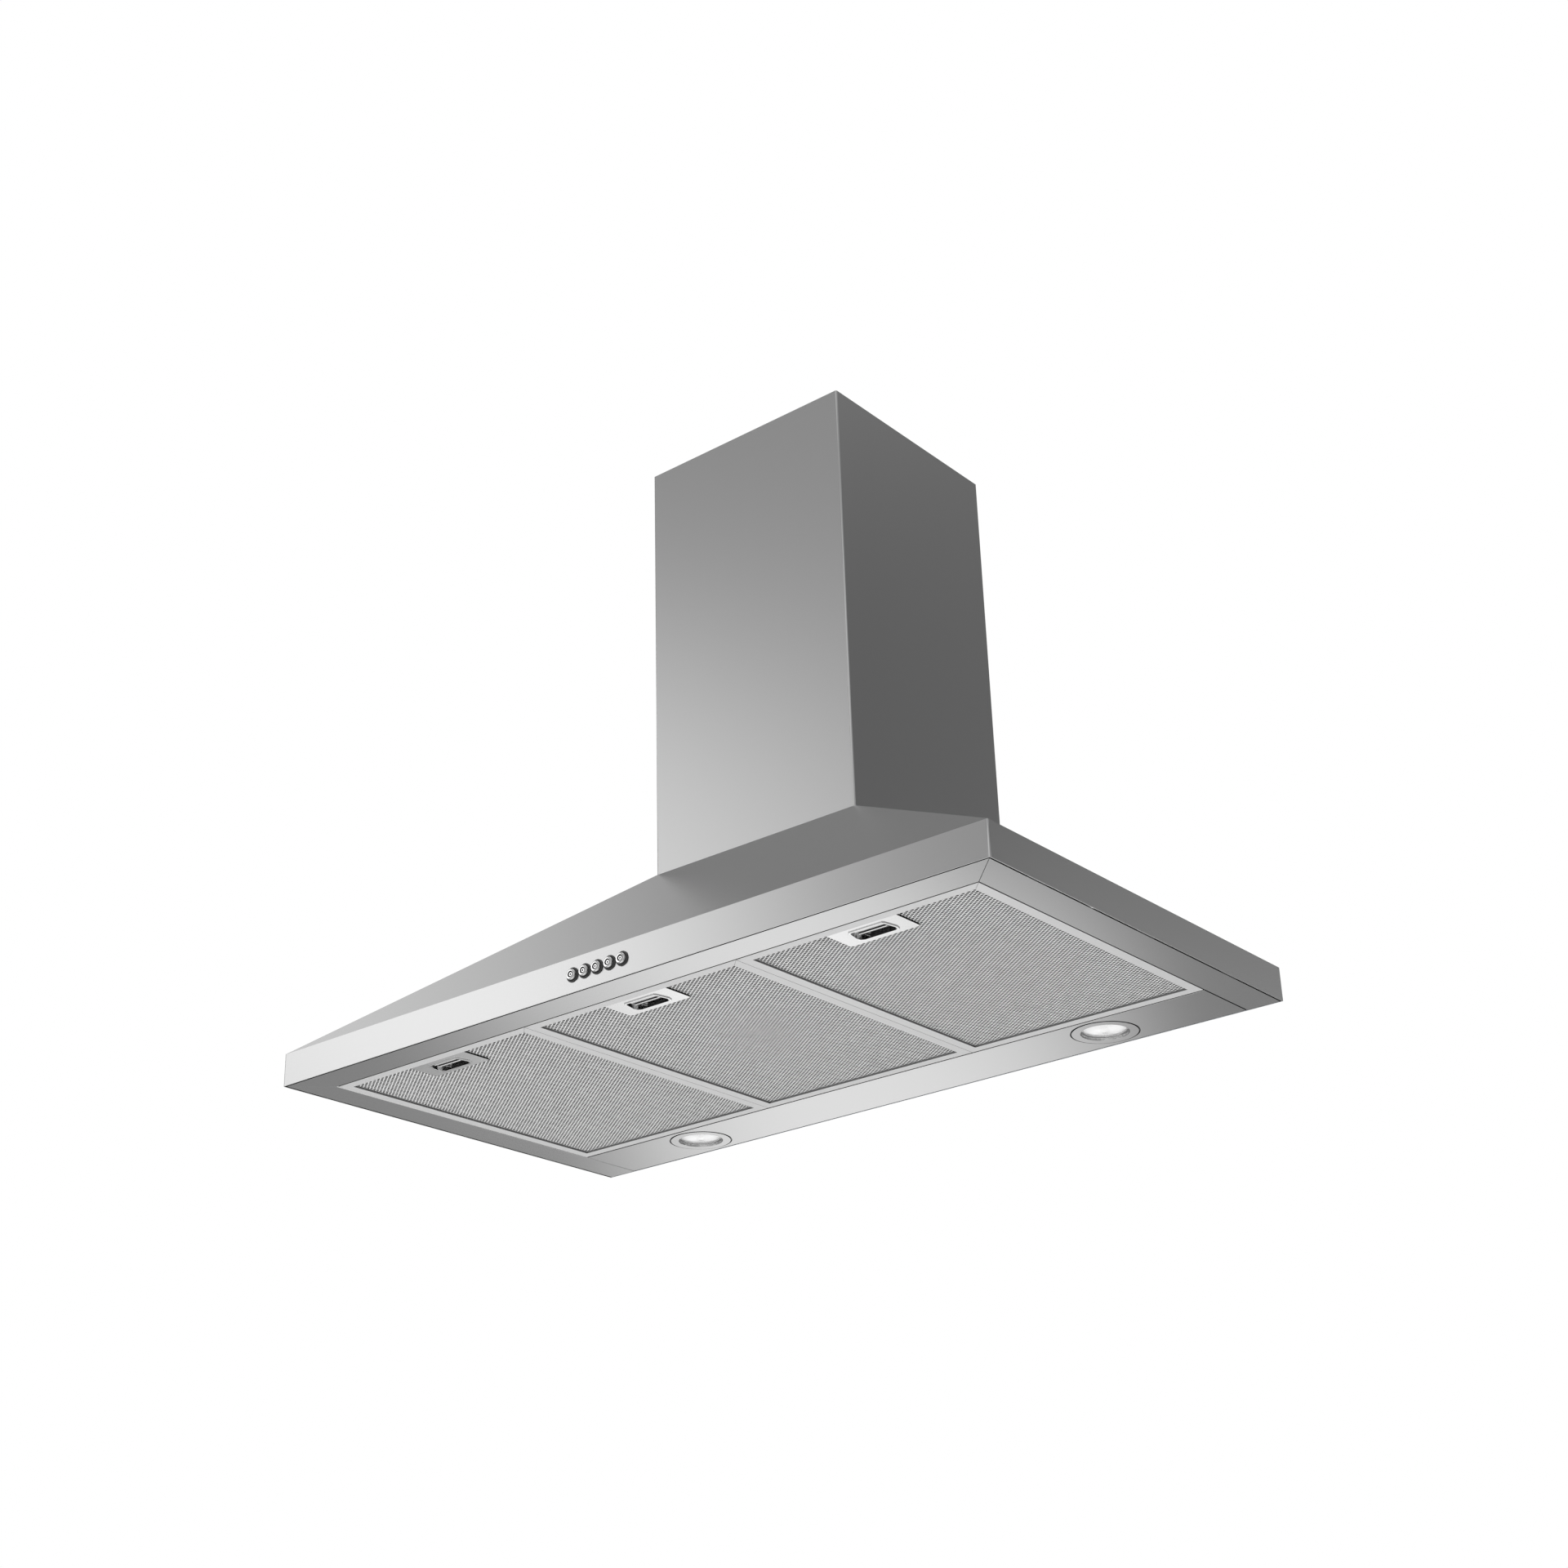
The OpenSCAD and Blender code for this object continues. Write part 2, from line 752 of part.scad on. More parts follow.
module collar_screw_places() {
    for (k = [0 : 3]) translate([0, box_y, box_top]) rotate(90 * k + 45)
        translate([collar_screw_r, 0, 0]) children();
}

module collar_screws() {
    color("dimgray") collar_screw_places() translate([0, 0, collar_flange_t])
        mirror([0, 0, 1]) screw(screw_grip);
}

module damper_pin() {
    color("silver") translate([-collar_r, box_y, pin_z]) rotate([0, 90, 0])
        cylinder(h = 2 * collar_r, r = pin_r);
}

// Half-round flap behind the pin; own says which knuckles it carries
module damper_flap(own) {
    r = collar_r - collar_t - flap_gap;
    color("gray") translate([0, box_y, pin_z]) difference() {
        union() {
            translate([0, 0, -flap_drop - flap_t]) linear_extrude(flap_t) difference() {
                intersection() {
                    circle(r, $fn = 96);
                    translate([-r, flap_split]) square([2 * r, r]);
                }
                // Relief for the other flap's knuckles
                for (side = [-1, 1])
                    translate([knuckle_at(side, -own) - knuckle_l / 2 - knuckle_gap, -over])
                        square([knuckle_l + 2 * knuckle_gap, over + flap_relief]);
            }
            for (side = [-1, 1]) translate([knuckle_at(side, own) - knuckle_l / 2, 0, 0])
                rotate([0, 90, 0]) cylinder(h = knuckle_l, r = knuckle_r);
        }
        translate([-r, 0, 0]) rotate([0, 90, 0]) cylinder(h = 2 * r, r = pin_r + run_play);
    }
}

function knuckle_at(side, own) =
    side * knuckle_x + own * (knuckle_l + 2 * knuckle_gap) / 2;

// U-shaped cover with round front corners and returns along the wall
module cover_2d(w, depth, back) {
    r = sheet_t + cover_bend_r;
    difference() {
        front_rounded(w, -depth, -back, r);
        difference() {
            front_rounded(w - 2 * sheet_t, -depth + sheet_t, over, r - sheet_t);
            for (side = [-1, 1])
                translate([side * (w / 2 - return_w / 2) - return_w / 2, -back - sheet_t])
                    square([return_w, 3 * over]);
        }
    }
}

module lower_chimney() {
    color("silver") difference() {
        union() {
            translate([0, 0, neck_z]) linear_extrude(lower_h)
                cover_2d(chimney_w, chimney_d, 0);
            for (side = [-1, 1])
                translate([side * (chimney_w - sheet_t - tab_w) / 2 - tab_w / 2,
                    box_y - tab_l / 2, neck_z]) cube([tab_w, tab_l, sheet_t]);
        }
        chimney_screw_places() cylinder(h = 2 * over, r = screw_shank_r + screw_play);
    }
}

// Screws that hold the lower cover's tabs to the neck's lip
module chimney_screw_places() {
    x = chimney_w / 2 - tab_w + screw_shank_r + screw_play;
    for (i = [-1, 1]) translate([i * x, box_y, neck_z - sheet_t - deck_t - over]) children();
}

module chimney_screws() {
    color("dimgray") for (i = [-1, 1])
        translate([i * (chimney_w / 2 - tab_w + screw_shank_r + screw_play), box_y,
            neck_z - sheet_t - deck_t])
            screw(deck_t + 2 * sheet_t);
}

module upper_chimney() {
    h = upper_top - upper_bottom;
    color("silver") difference() {
        translate([0, 0, upper_bottom]) linear_extrude(h) cover_2d(upper_w, upper_d, upper_back);
        for (k = [0 : vent_count - 1])
            translate([-upper_w, box_y - vent_l / 2, upper_top - vent_top - k * vent_pitch])
                cube([2 * upper_w, vent_l, vent_w]);
    }
}

// Hat-shaped bracket on the wall, with ears along the upper cover's sides
module chimney_bracket() {
    inside = upper_w / 2 - sheet_t;
    plate = chimney_w / 2 - sheet_t - return_w - bracket_side_gap;
    bottom = upper_top - bracket_drop;
    color("lightsteelblue") difference() {
        translate([0, 0, bottom]) linear_extrude(bracket_h) {
            translate([-plate, -sheet_t]) square([2 * plate, sheet_t]);
            for (side = [0, 1]) mirror([side, 0]) {
                translate([plate - sheet_t, -bracket_leg]) square([sheet_t, bracket_leg]);
                translate([plate - sheet_t, -bracket_leg])
                    square([inside - plate + sheet_t, sheet_t]);
                translate([inside - sheet_t, -bracket_leg - bracket_ear])
                    square([sheet_t, bracket_ear + sheet_t]);
            }
        }
        for (side = [-1, 1]) translate([side * bracket_x / 2, over, bottom + bracket_h / 2])
            rotate([90, 0, 0]) cylinder(h = 2 * over + sheet_t, r = bracket_hole_r);
    }
}

module terminal_box() {
    color("ivory") difference() {
        translate([term_x - term_w / 2, -sheet_t - term_d, term_z])
            cube([term_w, term_d, term_h]);
        translate([term_x - term_w / 2 + term_t, -sheet_t - term_d - over, term_z + term_t])
            cube([term_w - 2 * term_t, term_d - term_t + over, term_h - 2 * term_t]);
        gland_place(term_z + term_h - over) cylinder(h = 2 * over, r = gland_r + run_play);
    }
    // Corner posts for the lid's screws
    color("ivory") lid_screw_places() rotate([-90, 0, 0]) difference() {
        cylinder(h = term_d - term_t, r = screw_head_r);
        translate([0, 0, -over]) cylinder(h = screw_grip + 2 * over, r = screw_shank_r + screw_play);
    }
}

module lid_screw_places() {
    for (i = [-1, 1], j = [-1, 1])
        translate([term_x + i * (term_w / 2 - lid_screw_inset), -sheet_t - term_d,
            term_z + term_h / 2 + j * (term_h / 2 - lid_screw_inset)]) children();
}

module terminal_lid() {
    color("ivory") difference() {
        translate([term_x - term_w / 2, -sheet_t - term_d - lid_t, term_z])
            cube([term_w, lid_t, term_h]);
        lid_screw_places() translate([0, over, 0]) rotate([90, 0, 0])
            cylinder(h = 3 * over, r = screw_shank_r + screw_play);
    }
}

module lid_screws() {
    color("dimgray") lid_screw_places() translate([0, -lid_t, 0]) rotate([-90, 0, 0])
        screw(screw_grip);
}

// Axis of the cable gland, at height z
module gland_place(z) {
    translate([term_x, -sheet_t - gland_in, z]) children();
}

// Gland in the top of the terminal box, with a nut inside
module cable_gland() {
    color("black") gland_place(term_z + term_h) difference() {
        union() {
            cylinder(h = gland_nut_h, r = gland_nut_r, $fn = 6);
            translate([0, 0, -term_t - gland_nut_h])
                cylinder(h = gland_l + term_t + gland_nut_h, r = gland_r);
            translate([0, 0, -term_t - gland_nut_h / 2])
                cylinder(h = gland_nut_h / 2, r = gland_nut_r, $fn = 6);
        }
        translate([0, 0, -gland_l - over])
            cylinder(h = 2 * (gland_l + over), r = gland_bore_r);
    }
}

// Motor capacitor in a clip on the back panel
module capacitor() {
    y = -sheet_t - cap_clip_t - cap_body_r;
    color("lightgray") translate([cap_x, y, term_z]) {
        cylinder(h = cap_body_l, r = cap_body_r);
        cylinder(h = cap_body_l + cap_clip_t, r = cap_body_r / 3);
        translate([0, 0, (cap_body_l - cap_clip_h) / 2]) {
            cylinder(h = cap_clip_h, r = cap_body_r + cap_clip_t);
            translate([-cap_body_r - cap_clip_t, 0, 0])
                cube([2 * (cap_body_r + cap_clip_t), cap_body_r + cap_clip_t, cap_clip_h]);
        }
    }
}

// Body behind the rim with a stepped bore for each button
module switch_body() {
    w = (button_count - 1) * button_pitch + 2 * switch_end;
    front = -canopy_d + sheet_t;
    sleeve_r = button_r + collar_gap + collar_face;
    color("ivory") difference() {
        translate([-w / 2, front, button_z - switch_h / 2]) cube([w, switch_d, switch_h]);
        for (n = [0 : button_count - 1])
            translate([button_x(n), front, button_z]) rotate([-90, 0, 0]) {
                translate([0, 0, -over])
                    cylinder(h = sleeve_l - sheet_t + seam + over, r = sleeve_r + run_play);
                translate([0, 0, -over])
                    cylinder(h = cap_h - button_out + button_travel + over,
                        r = button_r + collar_gap);
                translate([0, 0, -over])
                    cylinder(h = switch_d + 2 * over, r = stem_r + run_play);
            }
    }
}

// Black ring round each button, with a sleeve through the rim
module button_collars() {
    color("black") for (n = [0 : button_count - 1])
        translate([button_x(n), -canopy_d - collar_out, button_z]) rotate([-90, 0, 0])
            difference() {
                union() {
                    cylinder(h = collar_out, r = button_r + collar_gap + collar_face + collar_wall);
                    cylinder(h = collar_out + sleeve_l, r = button_r + collar_gap + collar_face);
                }
                translate([0, 0, -over])
                    cylinder(h = collar_out + sleeve_l + 2 * over, r = button_r + collar_gap);
            }
}

// Push button: a cap with a round edge and a dished face, on a stem
module button(n) {
    color("silver") translate([button_x(n), -canopy_d - button_out, button_z])
        rotate([-90, 0, 0]) difference() {
            rotate_extrude() {
                translate([0, cap_edge]) square([button_r, cap_h - cap_edge]);
                square([button_r - cap_edge, cap_h]);
                translate([button_r - cap_edge, cap_edge]) circle(cap_edge);
                square([stem_r, cap_h + stem_l]);
            }
            // Spherical dish in the cap's face
            dish_ball_r = (dish_r * dish_r + dish_depth * dish_depth) / (2 * dish_depth);
            translate([0, 0, dish_depth - dish_ball_r]) sphere(dish_ball_r);
        }
}

// Flat ring of a lamp, clipped over the panel from above, with a seat for the glass
module lamp_bezel(side) {
    color("silver") translate([side * lamp_x, lamp_y, 0]) rotate_extrude() difference() {
        union() {
            translate([0, -lamp_out]) square([lamp_r, lamp_out + sheet_t + lamp_flange_t]);
            translate([0, sheet_t]) square([lamp_r + lamp_gap + lamp_flange_w, lamp_flange_t]);
            square([bezel_bore_r + seat_w, glass_z + glass_t]);
        }
        translate([0, -over]) square([glass_r - seat_w, 4 * over]);
        translate([0, -over]) square([bezel_bore_r, over + glass_z - seat_w]);
        translate([0, glass_z]) square([glass_r + seam / 2, 2 * over]);
    }
}

// Glass with a slightly curved underside
module lamp_glass(side) {
    arc_r = (glass_r * glass_r + glass_sag * glass_sag) / (2 * glass_sag);
    color("lightcyan") translate([side * lamp_x, lamp_y, glass_z]) rotate_extrude() intersection() {
        square([glass_r, glass_t]);
        translate([0, arc_r]) circle(arc_r, $fn = 720);
    }
}

// Reflector cup and lamp holder above the glass
module lamp_reflector(side) {
    wide = glass_r + seat_w;
    color("gainsboro") translate([side * lamp_x, lamp_y, glass_z + glass_t]) {
        rotate_extrude() difference() {
            polygon([
                [0, 0], [wide, 0], [wide, reflector_t],
                [waist_shares[0] * wide, waist_shares[1] * reflector_h],
                [reflector_neck_r + reflector_t, reflector_h], [0, reflector_h]
            ]);
            polygon([
                [0, -over], [wide - reflector_t, -over], [wide - reflector_t, reflector_t],
                [waist_shares[0] * wide - reflector_t, waist_shares[1] * reflector_h],
                [reflector_neck_r, reflector_h - reflector_t], [0, reflector_h - reflector_t]
            ]);
        }
        translate([0, 0, reflector_h]) cylinder(h = socket_h, r = socket_r);
    }
}

// Folded frame of a filter: flange below, inner lip, outer wall and top lip
module filter_frame(n) {
    inner_w = filter_w - 2 * flange_w;
    color("gainsboro") translate([filter_x(n), 0, 0]) difference() {
        union() {
            linear_extrude(frame_t) ring_2d(filter_w, filter_front, filter_rear, flange_w);
            linear_extrude(recess_h)
                ring_2d(inner_w + 2 * frame_t, filter_front + flange_w - frame_t,
                    filter_rear - flange_w + frame_t, frame_t);
            linear_extrude(frame_h) ring_2d(filter_w, filter_front, filter_rear, frame_t);
            translate([0, 0, frame_h - frame_t]) linear_extrude(frame_t)
                ring_2d(filter_w, filter_front, filter_rear, top_lip_w);
            for (side = [-1, 1])
                translate([side * hook_x - hook_w / 2, filter_rear - frame_t, hook_z])
                    cube([hook_w, hook_l + frame_t, hook_t]);
        }
        // Fine groove at each mitred corner
        for (i = [-1, 1], y = [filter_front, filter_rear])
            translate([i * filter_w / 2, y, -over])
                rotate((y == filter_front) ? 90 - 45 * i + 90 : 90 + 45 * i + 180)
                    translate([-over, -mitre_groove_w / 2, 0])
                        cube([flange_w * sqrt(2) - frame_t + over, mitre_groove_w,
                            over + mitre_groove_h]);
        // Slot for the latch's tongue
        translate([-stem_w / 2 - stem_play, filter_front - over, stem_z - stem_play])
            cube([stem_w + 2 * stem_play, over + flange_w - frame_t, stem_t + 2 * stem_play]);
    }
}

// Expanded mesh: two interleaved sets of diamond openings
module filter_mesh(n) {
    inset = frame_t + mesh_play;
    open_w = filter_w - 2 * flange_w;
    open_d = filter_d - 2 * flange_w;
    px = open_w / mesh_cols;
    py = open_d / mesh_rows;
    mid_y = (filter_front + filter_rear) / 2;
    color("lightgray") translate([filter_x(n), 0, recess_h]) linear_extrude(mesh_t) difference() {
        translate([-filter_w / 2 + inset, filter_front + inset])
            square([filter_w - 2 * inset, filter_d - 2 * inset]);
        for (set = [0, 1], i = [0 : mesh_cols - 1 - set], j = [0 : mesh_rows - 1 - set])
            translate([(i - (mesh_cols - 1 - set) / 2) * px,
                mid_y + (j - (mesh_rows - 1 - set) / 2) * py])
                diamond(px - strand_w * px / py, py - strand_w);
        // Room for the latch
        translate([-bezel_w / 2, filter_front])
            square([bezel_w, flange_w + plate_d / 2 + bezel_d / 2]);
    }
}

module diamond(w, d) {
    polygon([[-w / 2, 0], [0, -d / 2], [w / 2, 0], [0, d / 2]]);
}

// Plate round a latch, with side walls up to the mesh
module latch_plate(n) {
    color("white") translate([filter_x(n), 0, plate_z]) {
        linear_extrude(plate_t) difference() {
            plate_2d(0);
            translate([0, latch_y]) bezel_2d(bezel_rim - cup_wall);
        }
        linear_extrude(recess_h - plate_z) difference() {
            plate_2d(0);
            plate_2d(plate_t);
        }
    }
}

// The plate's outline, with round rear corners
module plate_2d(inset) {
    front = filter_front + flange_w + seam;
    mirror([0, 1]) front_rounded(plate_w - 2 * inset, -front - plate_d + inset,
        -front - inset, plate_corner_r - inset);
}

// The bezel's outline, inset from its edge
module bezel_2d(inset) {
    w = bezel_w - 2 * inset;
    d = bezel_d - 2 * inset;
    polygon([for (p = bezel_shares) [p[0] * w, p[1] * d]]);
}

// Bezel with the cup that the latch's grip slides in
module latch_bezel(n) {
    color("silver") translate([filter_x(n), latch_y, 0]) difference() {
        union() {
            translate([0, 0, -bezel_out]) linear_extrude(bezel_out + plate_z) bezel_2d(0);
            linear_extrude(cup_top_z + cup_wall) bezel_2d(bezel_rim - cup_wall);
        }
        translate([0, 0, -over]) linear_extrude(over + cup_top_z) bezel_2d(bezel_rim);
        translate([-stem_w / 2 - stem_play, -bezel_d, stem_z - stem_play])
            cube([stem_w + 2 * stem_play, bezel_d, stem_t + 2 * stem_play]);
    }
}

// Sliding bar of a latch: ribbed grip, stem, and tongue at the frame's front
module latch_bar(n) {
    front = latch_y - bezel_d / 2 + bezel_rim + grip_play;
    tongue = opening_front + tongue_gap;
    pitch = (grip_d - 2 * ridge_inset) / (ridge_count - 1);
    color("silver") translate([filter_x(n), 0, 0]) {
        translate([-grip_w / 2, front, grip_z]) cube([grip_w, grip_d, stem_z + stem_t - grip_z]);
        for (k = [0 : ridge_count - 1])
            translate([-grip_w / 2, front + ridge_inset + k * pitch, grip_z]) rotate([0, 90, 0])
                cylinder(h = grip_w, r = ridge_r);
        translate([-stem_w / 2, tongue, stem_z]) cube([stem_w, front - tongue + grip_play, stem_t]);
    }
}

place() canopy_shell();
place() front_strip();
place() mirror([1, 0, 0]) side_strip();  // left_strip
place() side_strip();  // right_strip
place() lamp_panel();
place() back_panel();
place() blower_deck();
place() blower_box();
place() mirror([1, 0, 0]) scroll_half();  // scroll_left
place() scroll_half();  // scroll_right
place() mirror([1, 0, 0]) inlet_ring();  // inlet_ring_left
place() inlet_ring();  // inlet_ring_right
place() motor();
place() motor_bracket();
place() motor_shaft();
place() impeller();
place() duct_collar();
place() damper_pin();
place()  // damper_flap_front
    translate([0, box_y, 0]) mirror([0, 1, 0]) translate([0, -box_y, 0]) damper_flap(-1);
place() damper_flap(1);  // damper_flap_rear
place() lower_chimney();
place() upper_chimney();
place() chimney_bracket();
place() terminal_box();
place() terminal_lid();
place() cable_gland();
place() capacitor();
place() switch_body();
place() button_collars();
place() button(0);  // button_1
place() button(1);  // button_2
place() button(2);  // button_3
place() button(3);  // button_4
place() button(4);  // button_5
place() lamp_bezel(-1);  // lamp_bezel_left
place() lamp_bezel(1);  // lamp_bezel_right
place() lamp_glass(-1);  // lamp_glass_left
place() lamp_glass(1);  // lamp_glass_right
place() lamp_reflector(-1);  // lamp_reflector_left
place() lamp_reflector(1);  // lamp_reflector_right
place() deck_screws();
place() chimney_screws();
place() collar_screws();
place() lid_screws();
place() filter_frame(0);  // filter_frame_left
place() filter_frame(1);  // filter_frame_middle
place() filter_frame(2);  // filter_frame_right
place() filter_mesh(0);  // filter_mesh_left
place() filter_mesh(1);  // filter_mesh_middle
place() filter_mesh(2);  // filter_mesh_right
place() latch_plate(0);  // latch_plate_left
place() latch_plate(1);  // latch_plate_middle
place() latch_plate(2);  // latch_plate_right
place() latch_bezel(0);  // latch_bezel_left
place() latch_bezel(1);  // latch_bezel_middle
place() latch_bezel(2);  // latch_bezel_right
place() latch_bar(0);  // latch_bar_left
place() latch_bar(1);  // latch_bar_middle
place() latch_bar(2);  // latch_bar_right
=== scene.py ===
# %% [markdown]
# # Dressing a wall mount range hood in Blender
# The hood hangs on a kitchen wall above the hob. It is folded from brushed stainless steel: a
# straight rim, a low pyramid above it and a square chimney cover. Below are three mesh filters
# with sliding latches and two spot lamps, and five push buttons sit in the rim.
# The construction is already there as solids. This lesson gives each of them its finish, and
# makes the finer pieces that solids are clumsy at, such as the expanded mesh of the filters.

# %% [markdown]
# The frame comes first. It holds every solid at its real place in metres, with X to the right,
# Y towards the wall and Z up.

# %% Load the frame
import math

import bpy
import bmesh
from mathutils import Matrix, Vector


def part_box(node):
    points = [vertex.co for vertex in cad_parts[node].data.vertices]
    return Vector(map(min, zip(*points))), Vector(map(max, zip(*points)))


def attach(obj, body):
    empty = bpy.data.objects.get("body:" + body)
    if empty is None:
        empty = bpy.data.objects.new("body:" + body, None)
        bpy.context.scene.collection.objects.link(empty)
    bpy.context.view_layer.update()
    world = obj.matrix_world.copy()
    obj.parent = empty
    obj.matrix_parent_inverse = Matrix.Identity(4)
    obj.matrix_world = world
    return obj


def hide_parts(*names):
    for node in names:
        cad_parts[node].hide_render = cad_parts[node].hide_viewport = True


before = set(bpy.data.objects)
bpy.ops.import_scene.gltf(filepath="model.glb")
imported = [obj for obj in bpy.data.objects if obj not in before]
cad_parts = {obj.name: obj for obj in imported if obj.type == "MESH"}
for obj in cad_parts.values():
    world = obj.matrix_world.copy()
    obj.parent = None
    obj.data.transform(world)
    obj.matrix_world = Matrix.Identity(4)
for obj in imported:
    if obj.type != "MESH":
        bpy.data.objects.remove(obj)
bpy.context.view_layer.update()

# %% [markdown]
# Most sizes are read from the solids, so that a piece always sits on what carries it. One
# millimetre gets a name, because the small details are easier to think of in millimetres.

# %% Sizes that several steps use
MM = 0.001
SIDES = ("left", "middle", "right")
BUTTONS = ("button_1", "button_2", "button_3", "button_4", "button_5")
underside_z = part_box("canopy_shell")[0].z
print("underside at", round(underside_z, 4), "m")

# %% [markdown]
# ## Camera
# The photograph looks up at the hood from its right and from below, as a cook would. A camera
# that stands in the right place with the right lens gives the right perspective, so nothing
# else has to be bent to match. The small roll is that of the photographer's hands.

# %% Camera
CAMERA_PLACE = Vector((1.493, -2.077, -0.908))
CAMERA_AIM = Vector((0.073, -0.301, 0.131))
CAMERA_ROLL = math.radians(-1.8)
CAMERA_LENS = 56.1


def make_camera():
    data = bpy.data.cameras.new("camera")
    data.lens = CAMERA_LENS
    camera = bpy.data.objects.new("camera", data)
    camera.location = CAMERA_PLACE
    look = (CAMERA_AIM - CAMERA_PLACE).to_track_quat("-Z", "Y")
    camera.rotation_mode = "QUATERNION"
    camera.rotation_quaternion = look @ Matrix.Rotation(CAMERA_ROLL, 3, "Z").to_quaternion()
    bpy.context.scene.collection.objects.link(camera)
    bpy.context.scene.camera = camera
    return camera


camera = make_camera()
print("camera at", tuple(camera.location), "lens", camera.data.lens)

# %% [markdown]
# ## Building node trees
# Every finish here is a small tree of shader nodes. Clicking them together by hand would be the
# same each time, so a few helpers do it: one adds a node and sets its inputs, one starts a
# material with its main shader, and one finds that shader again when a finish is changed later.

# %% Node helpers
def add_node(tree, kind, settings=None, **inputs):
    """A node with its properties set, and its inputs set to values or joined to outputs."""
    node = tree.nodes.new(kind)
    for name, value in (settings or {}).items():
        setattr(node, name, value)
    for name, value in inputs.items():
        key = int(name[1:]) if name[0] == "_" else name.replace("_", " ")
        if isinstance(value, bpy.types.NodeSocket):
            tree.links.new(value, node.inputs[key])
        else:
            node.inputs[key].default_value = value
    return node


def main_shader(tree):
    return next(node for node in tree.nodes if node.type == "BSDF_PRINCIPLED")


def start_material(name):
    """A new material, its node tree and its main shader."""
    material = bpy.data.materials.new(name)
    material.use_nodes = True
    tree = material.node_tree
    return material, tree, main_shader(tree)


def object_place(tree):
    """The place on the object in metres, which stays with the piece when it moves."""
    return add_node(tree, "ShaderNodeTexCoord").outputs["Object"]


def grey(level):
    return (level, level, level, 1.0)


print("a middle grey as a colour:", grey(0.5))

# %% [markdown]
# ## Brushed steel
# A belt of fine grit runs along each sheet before it is folded, and leaves thousands of short
# parallel scratches. Seen from a step away they can't be told apart, but they change how the
# metal shines: the roughness wavers from line to line, and highlights smear across the grain.
# Lines modelled one by one would be far too many, so we stretch a noise along the grain. A
# noise mostly stays near its middle, so a second helper spreads that middle over a range.

# %% Lines of the grain
# Scales of the noise, in cells to the metre
ALONG_GRAIN = 1.5
ACROSS_GRAIN = 1400.0
GRAIN_DETAIL = 3.0
GRAIN_CRISP = 0.6
NOISE_LOW = 0.3
NOISE_HIGH = 0.7


def grain_lines(tree, axis):
    """Noise in lines along one axis of the object."""
    scale = tuple(ALONG_GRAIN if name == axis else ACROSS_GRAIN for name in "xyz")
    stretched = add_node(tree, "ShaderNodeMapping", Vector=object_place(tree), Scale=scale)
    noise = add_node(tree, "ShaderNodeTexNoise", Vector=stretched.outputs[0],
                     Scale=1.0, Detail=GRAIN_DETAIL, Roughness=GRAIN_CRISP)
    return noise.outputs["Fac"]


def spread_value(tree, source, low, high):
    """Maps the middle of a noise to the range from low to high."""
    node = add_node(tree, "ShaderNodeMapRange", Value=source)
    node.inputs["From Min"].default_value = NOISE_LOW
    node.inputs["From Max"].default_value = NOISE_HIGH
    node.inputs["To Min"].default_value = low
    node.inputs["To Max"].default_value = high
    return node.outputs[0]


print("a line is about", round(1 / ACROSS_GRAIN / MM, 1), "mm wide and",
      round(1 / ALONG_GRAIN, 2), "m long")

# %% [markdown]
# A folded sheet turns its grain at the corners: on the hood's sides it runs from front to back.
# The normal says which way a face looks, so the shader can choose the grain by itself.
# The flat trim below the hood has painted shade at its edges. Its upright faces are cut edges in
# narrow gaps, and they are painted nearly black as painted shade, which draws the thin dark lines
# between the pieces. They could be pieces of their own, but the normal finds them too. The bend
# along the lamp panel's front lies in such a gap as well, and there the place decides.

# %% Choosing by the way a face looks
# Tone of the painted shade on the walls in narrow gaps
WALL_SHADE_TONE = 0.04
# A face is a wall when the upward part of its normal is smaller than this
UPRIGHT = 0.5


def faces_sideways(tree, normal):
    """1 where a surface looks more to the left or right than to the front or back, else 0."""
    parts = add_node(tree, "ShaderNodeSeparateXYZ", _0=normal)
    across = add_node(tree, "ShaderNodeMath", {"operation": "ABSOLUTE"}, _0=parts.outputs[0])
    along = add_node(tree, "ShaderNodeMath", {"operation": "ABSOLUTE"}, _0=parts.outputs[1])
    return add_node(tree, "ShaderNodeMath", {"operation": "GREATER_THAN"},
                    _0=across.outputs[0], _1=along.outputs[0]).outputs[0]


def paint_wall_shade(tree, colour, tone=WALL_SHADE_TONE, front=None):
    """Paints upright faces, and the bend ahead of the given y, a dark tone as painted shade."""
    flat = add_node(tree, "ShaderNodeNewGeometry").outputs["True Normal"]
    upward = add_node(tree, "ShaderNodeSeparateXYZ", _0=flat).outputs[2]
    size = add_node(tree, "ShaderNodeMath", {"operation": "ABSOLUTE"}, _0=upward)
    share = add_node(tree, "ShaderNodeMath", {"operation": "LESS_THAN"},
                     _0=size.outputs[0], _1=UPRIGHT).outputs[0]
    if front is not None:
        y = add_node(tree, "ShaderNodeSeparateXYZ", _0=object_place(tree)).outputs[1]
        ahead = add_node(tree, "ShaderNodeMath", {"operation": "LESS_THAN"}, _0=y, _1=front)
        share = add_node(tree, "ShaderNodeMath", {"operation": "MAXIMUM"},
                         _0=share, _1=ahead.outputs[0]).outputs[0]
    mix = add_node(tree, "ShaderNodeMix", {"data_type": "RGBA"}, _0=share, _6=colour)
    mix.inputs[7].default_value = grey(tone)
    return mix.outputs[2]


print("faces tilted more than", round(math.degrees(math.acos(UPRIGHT))),
      "degrees count as walls")

# %% [markdown]
# The finish itself lets the lines drive the roughness, a trace of tone and a very shallow bump.
# The amount of smear is one number for the whole sheet, so it is set on the shader itself. Its
# direction lies across the grain and in the surface: the cross product of normal and grain.

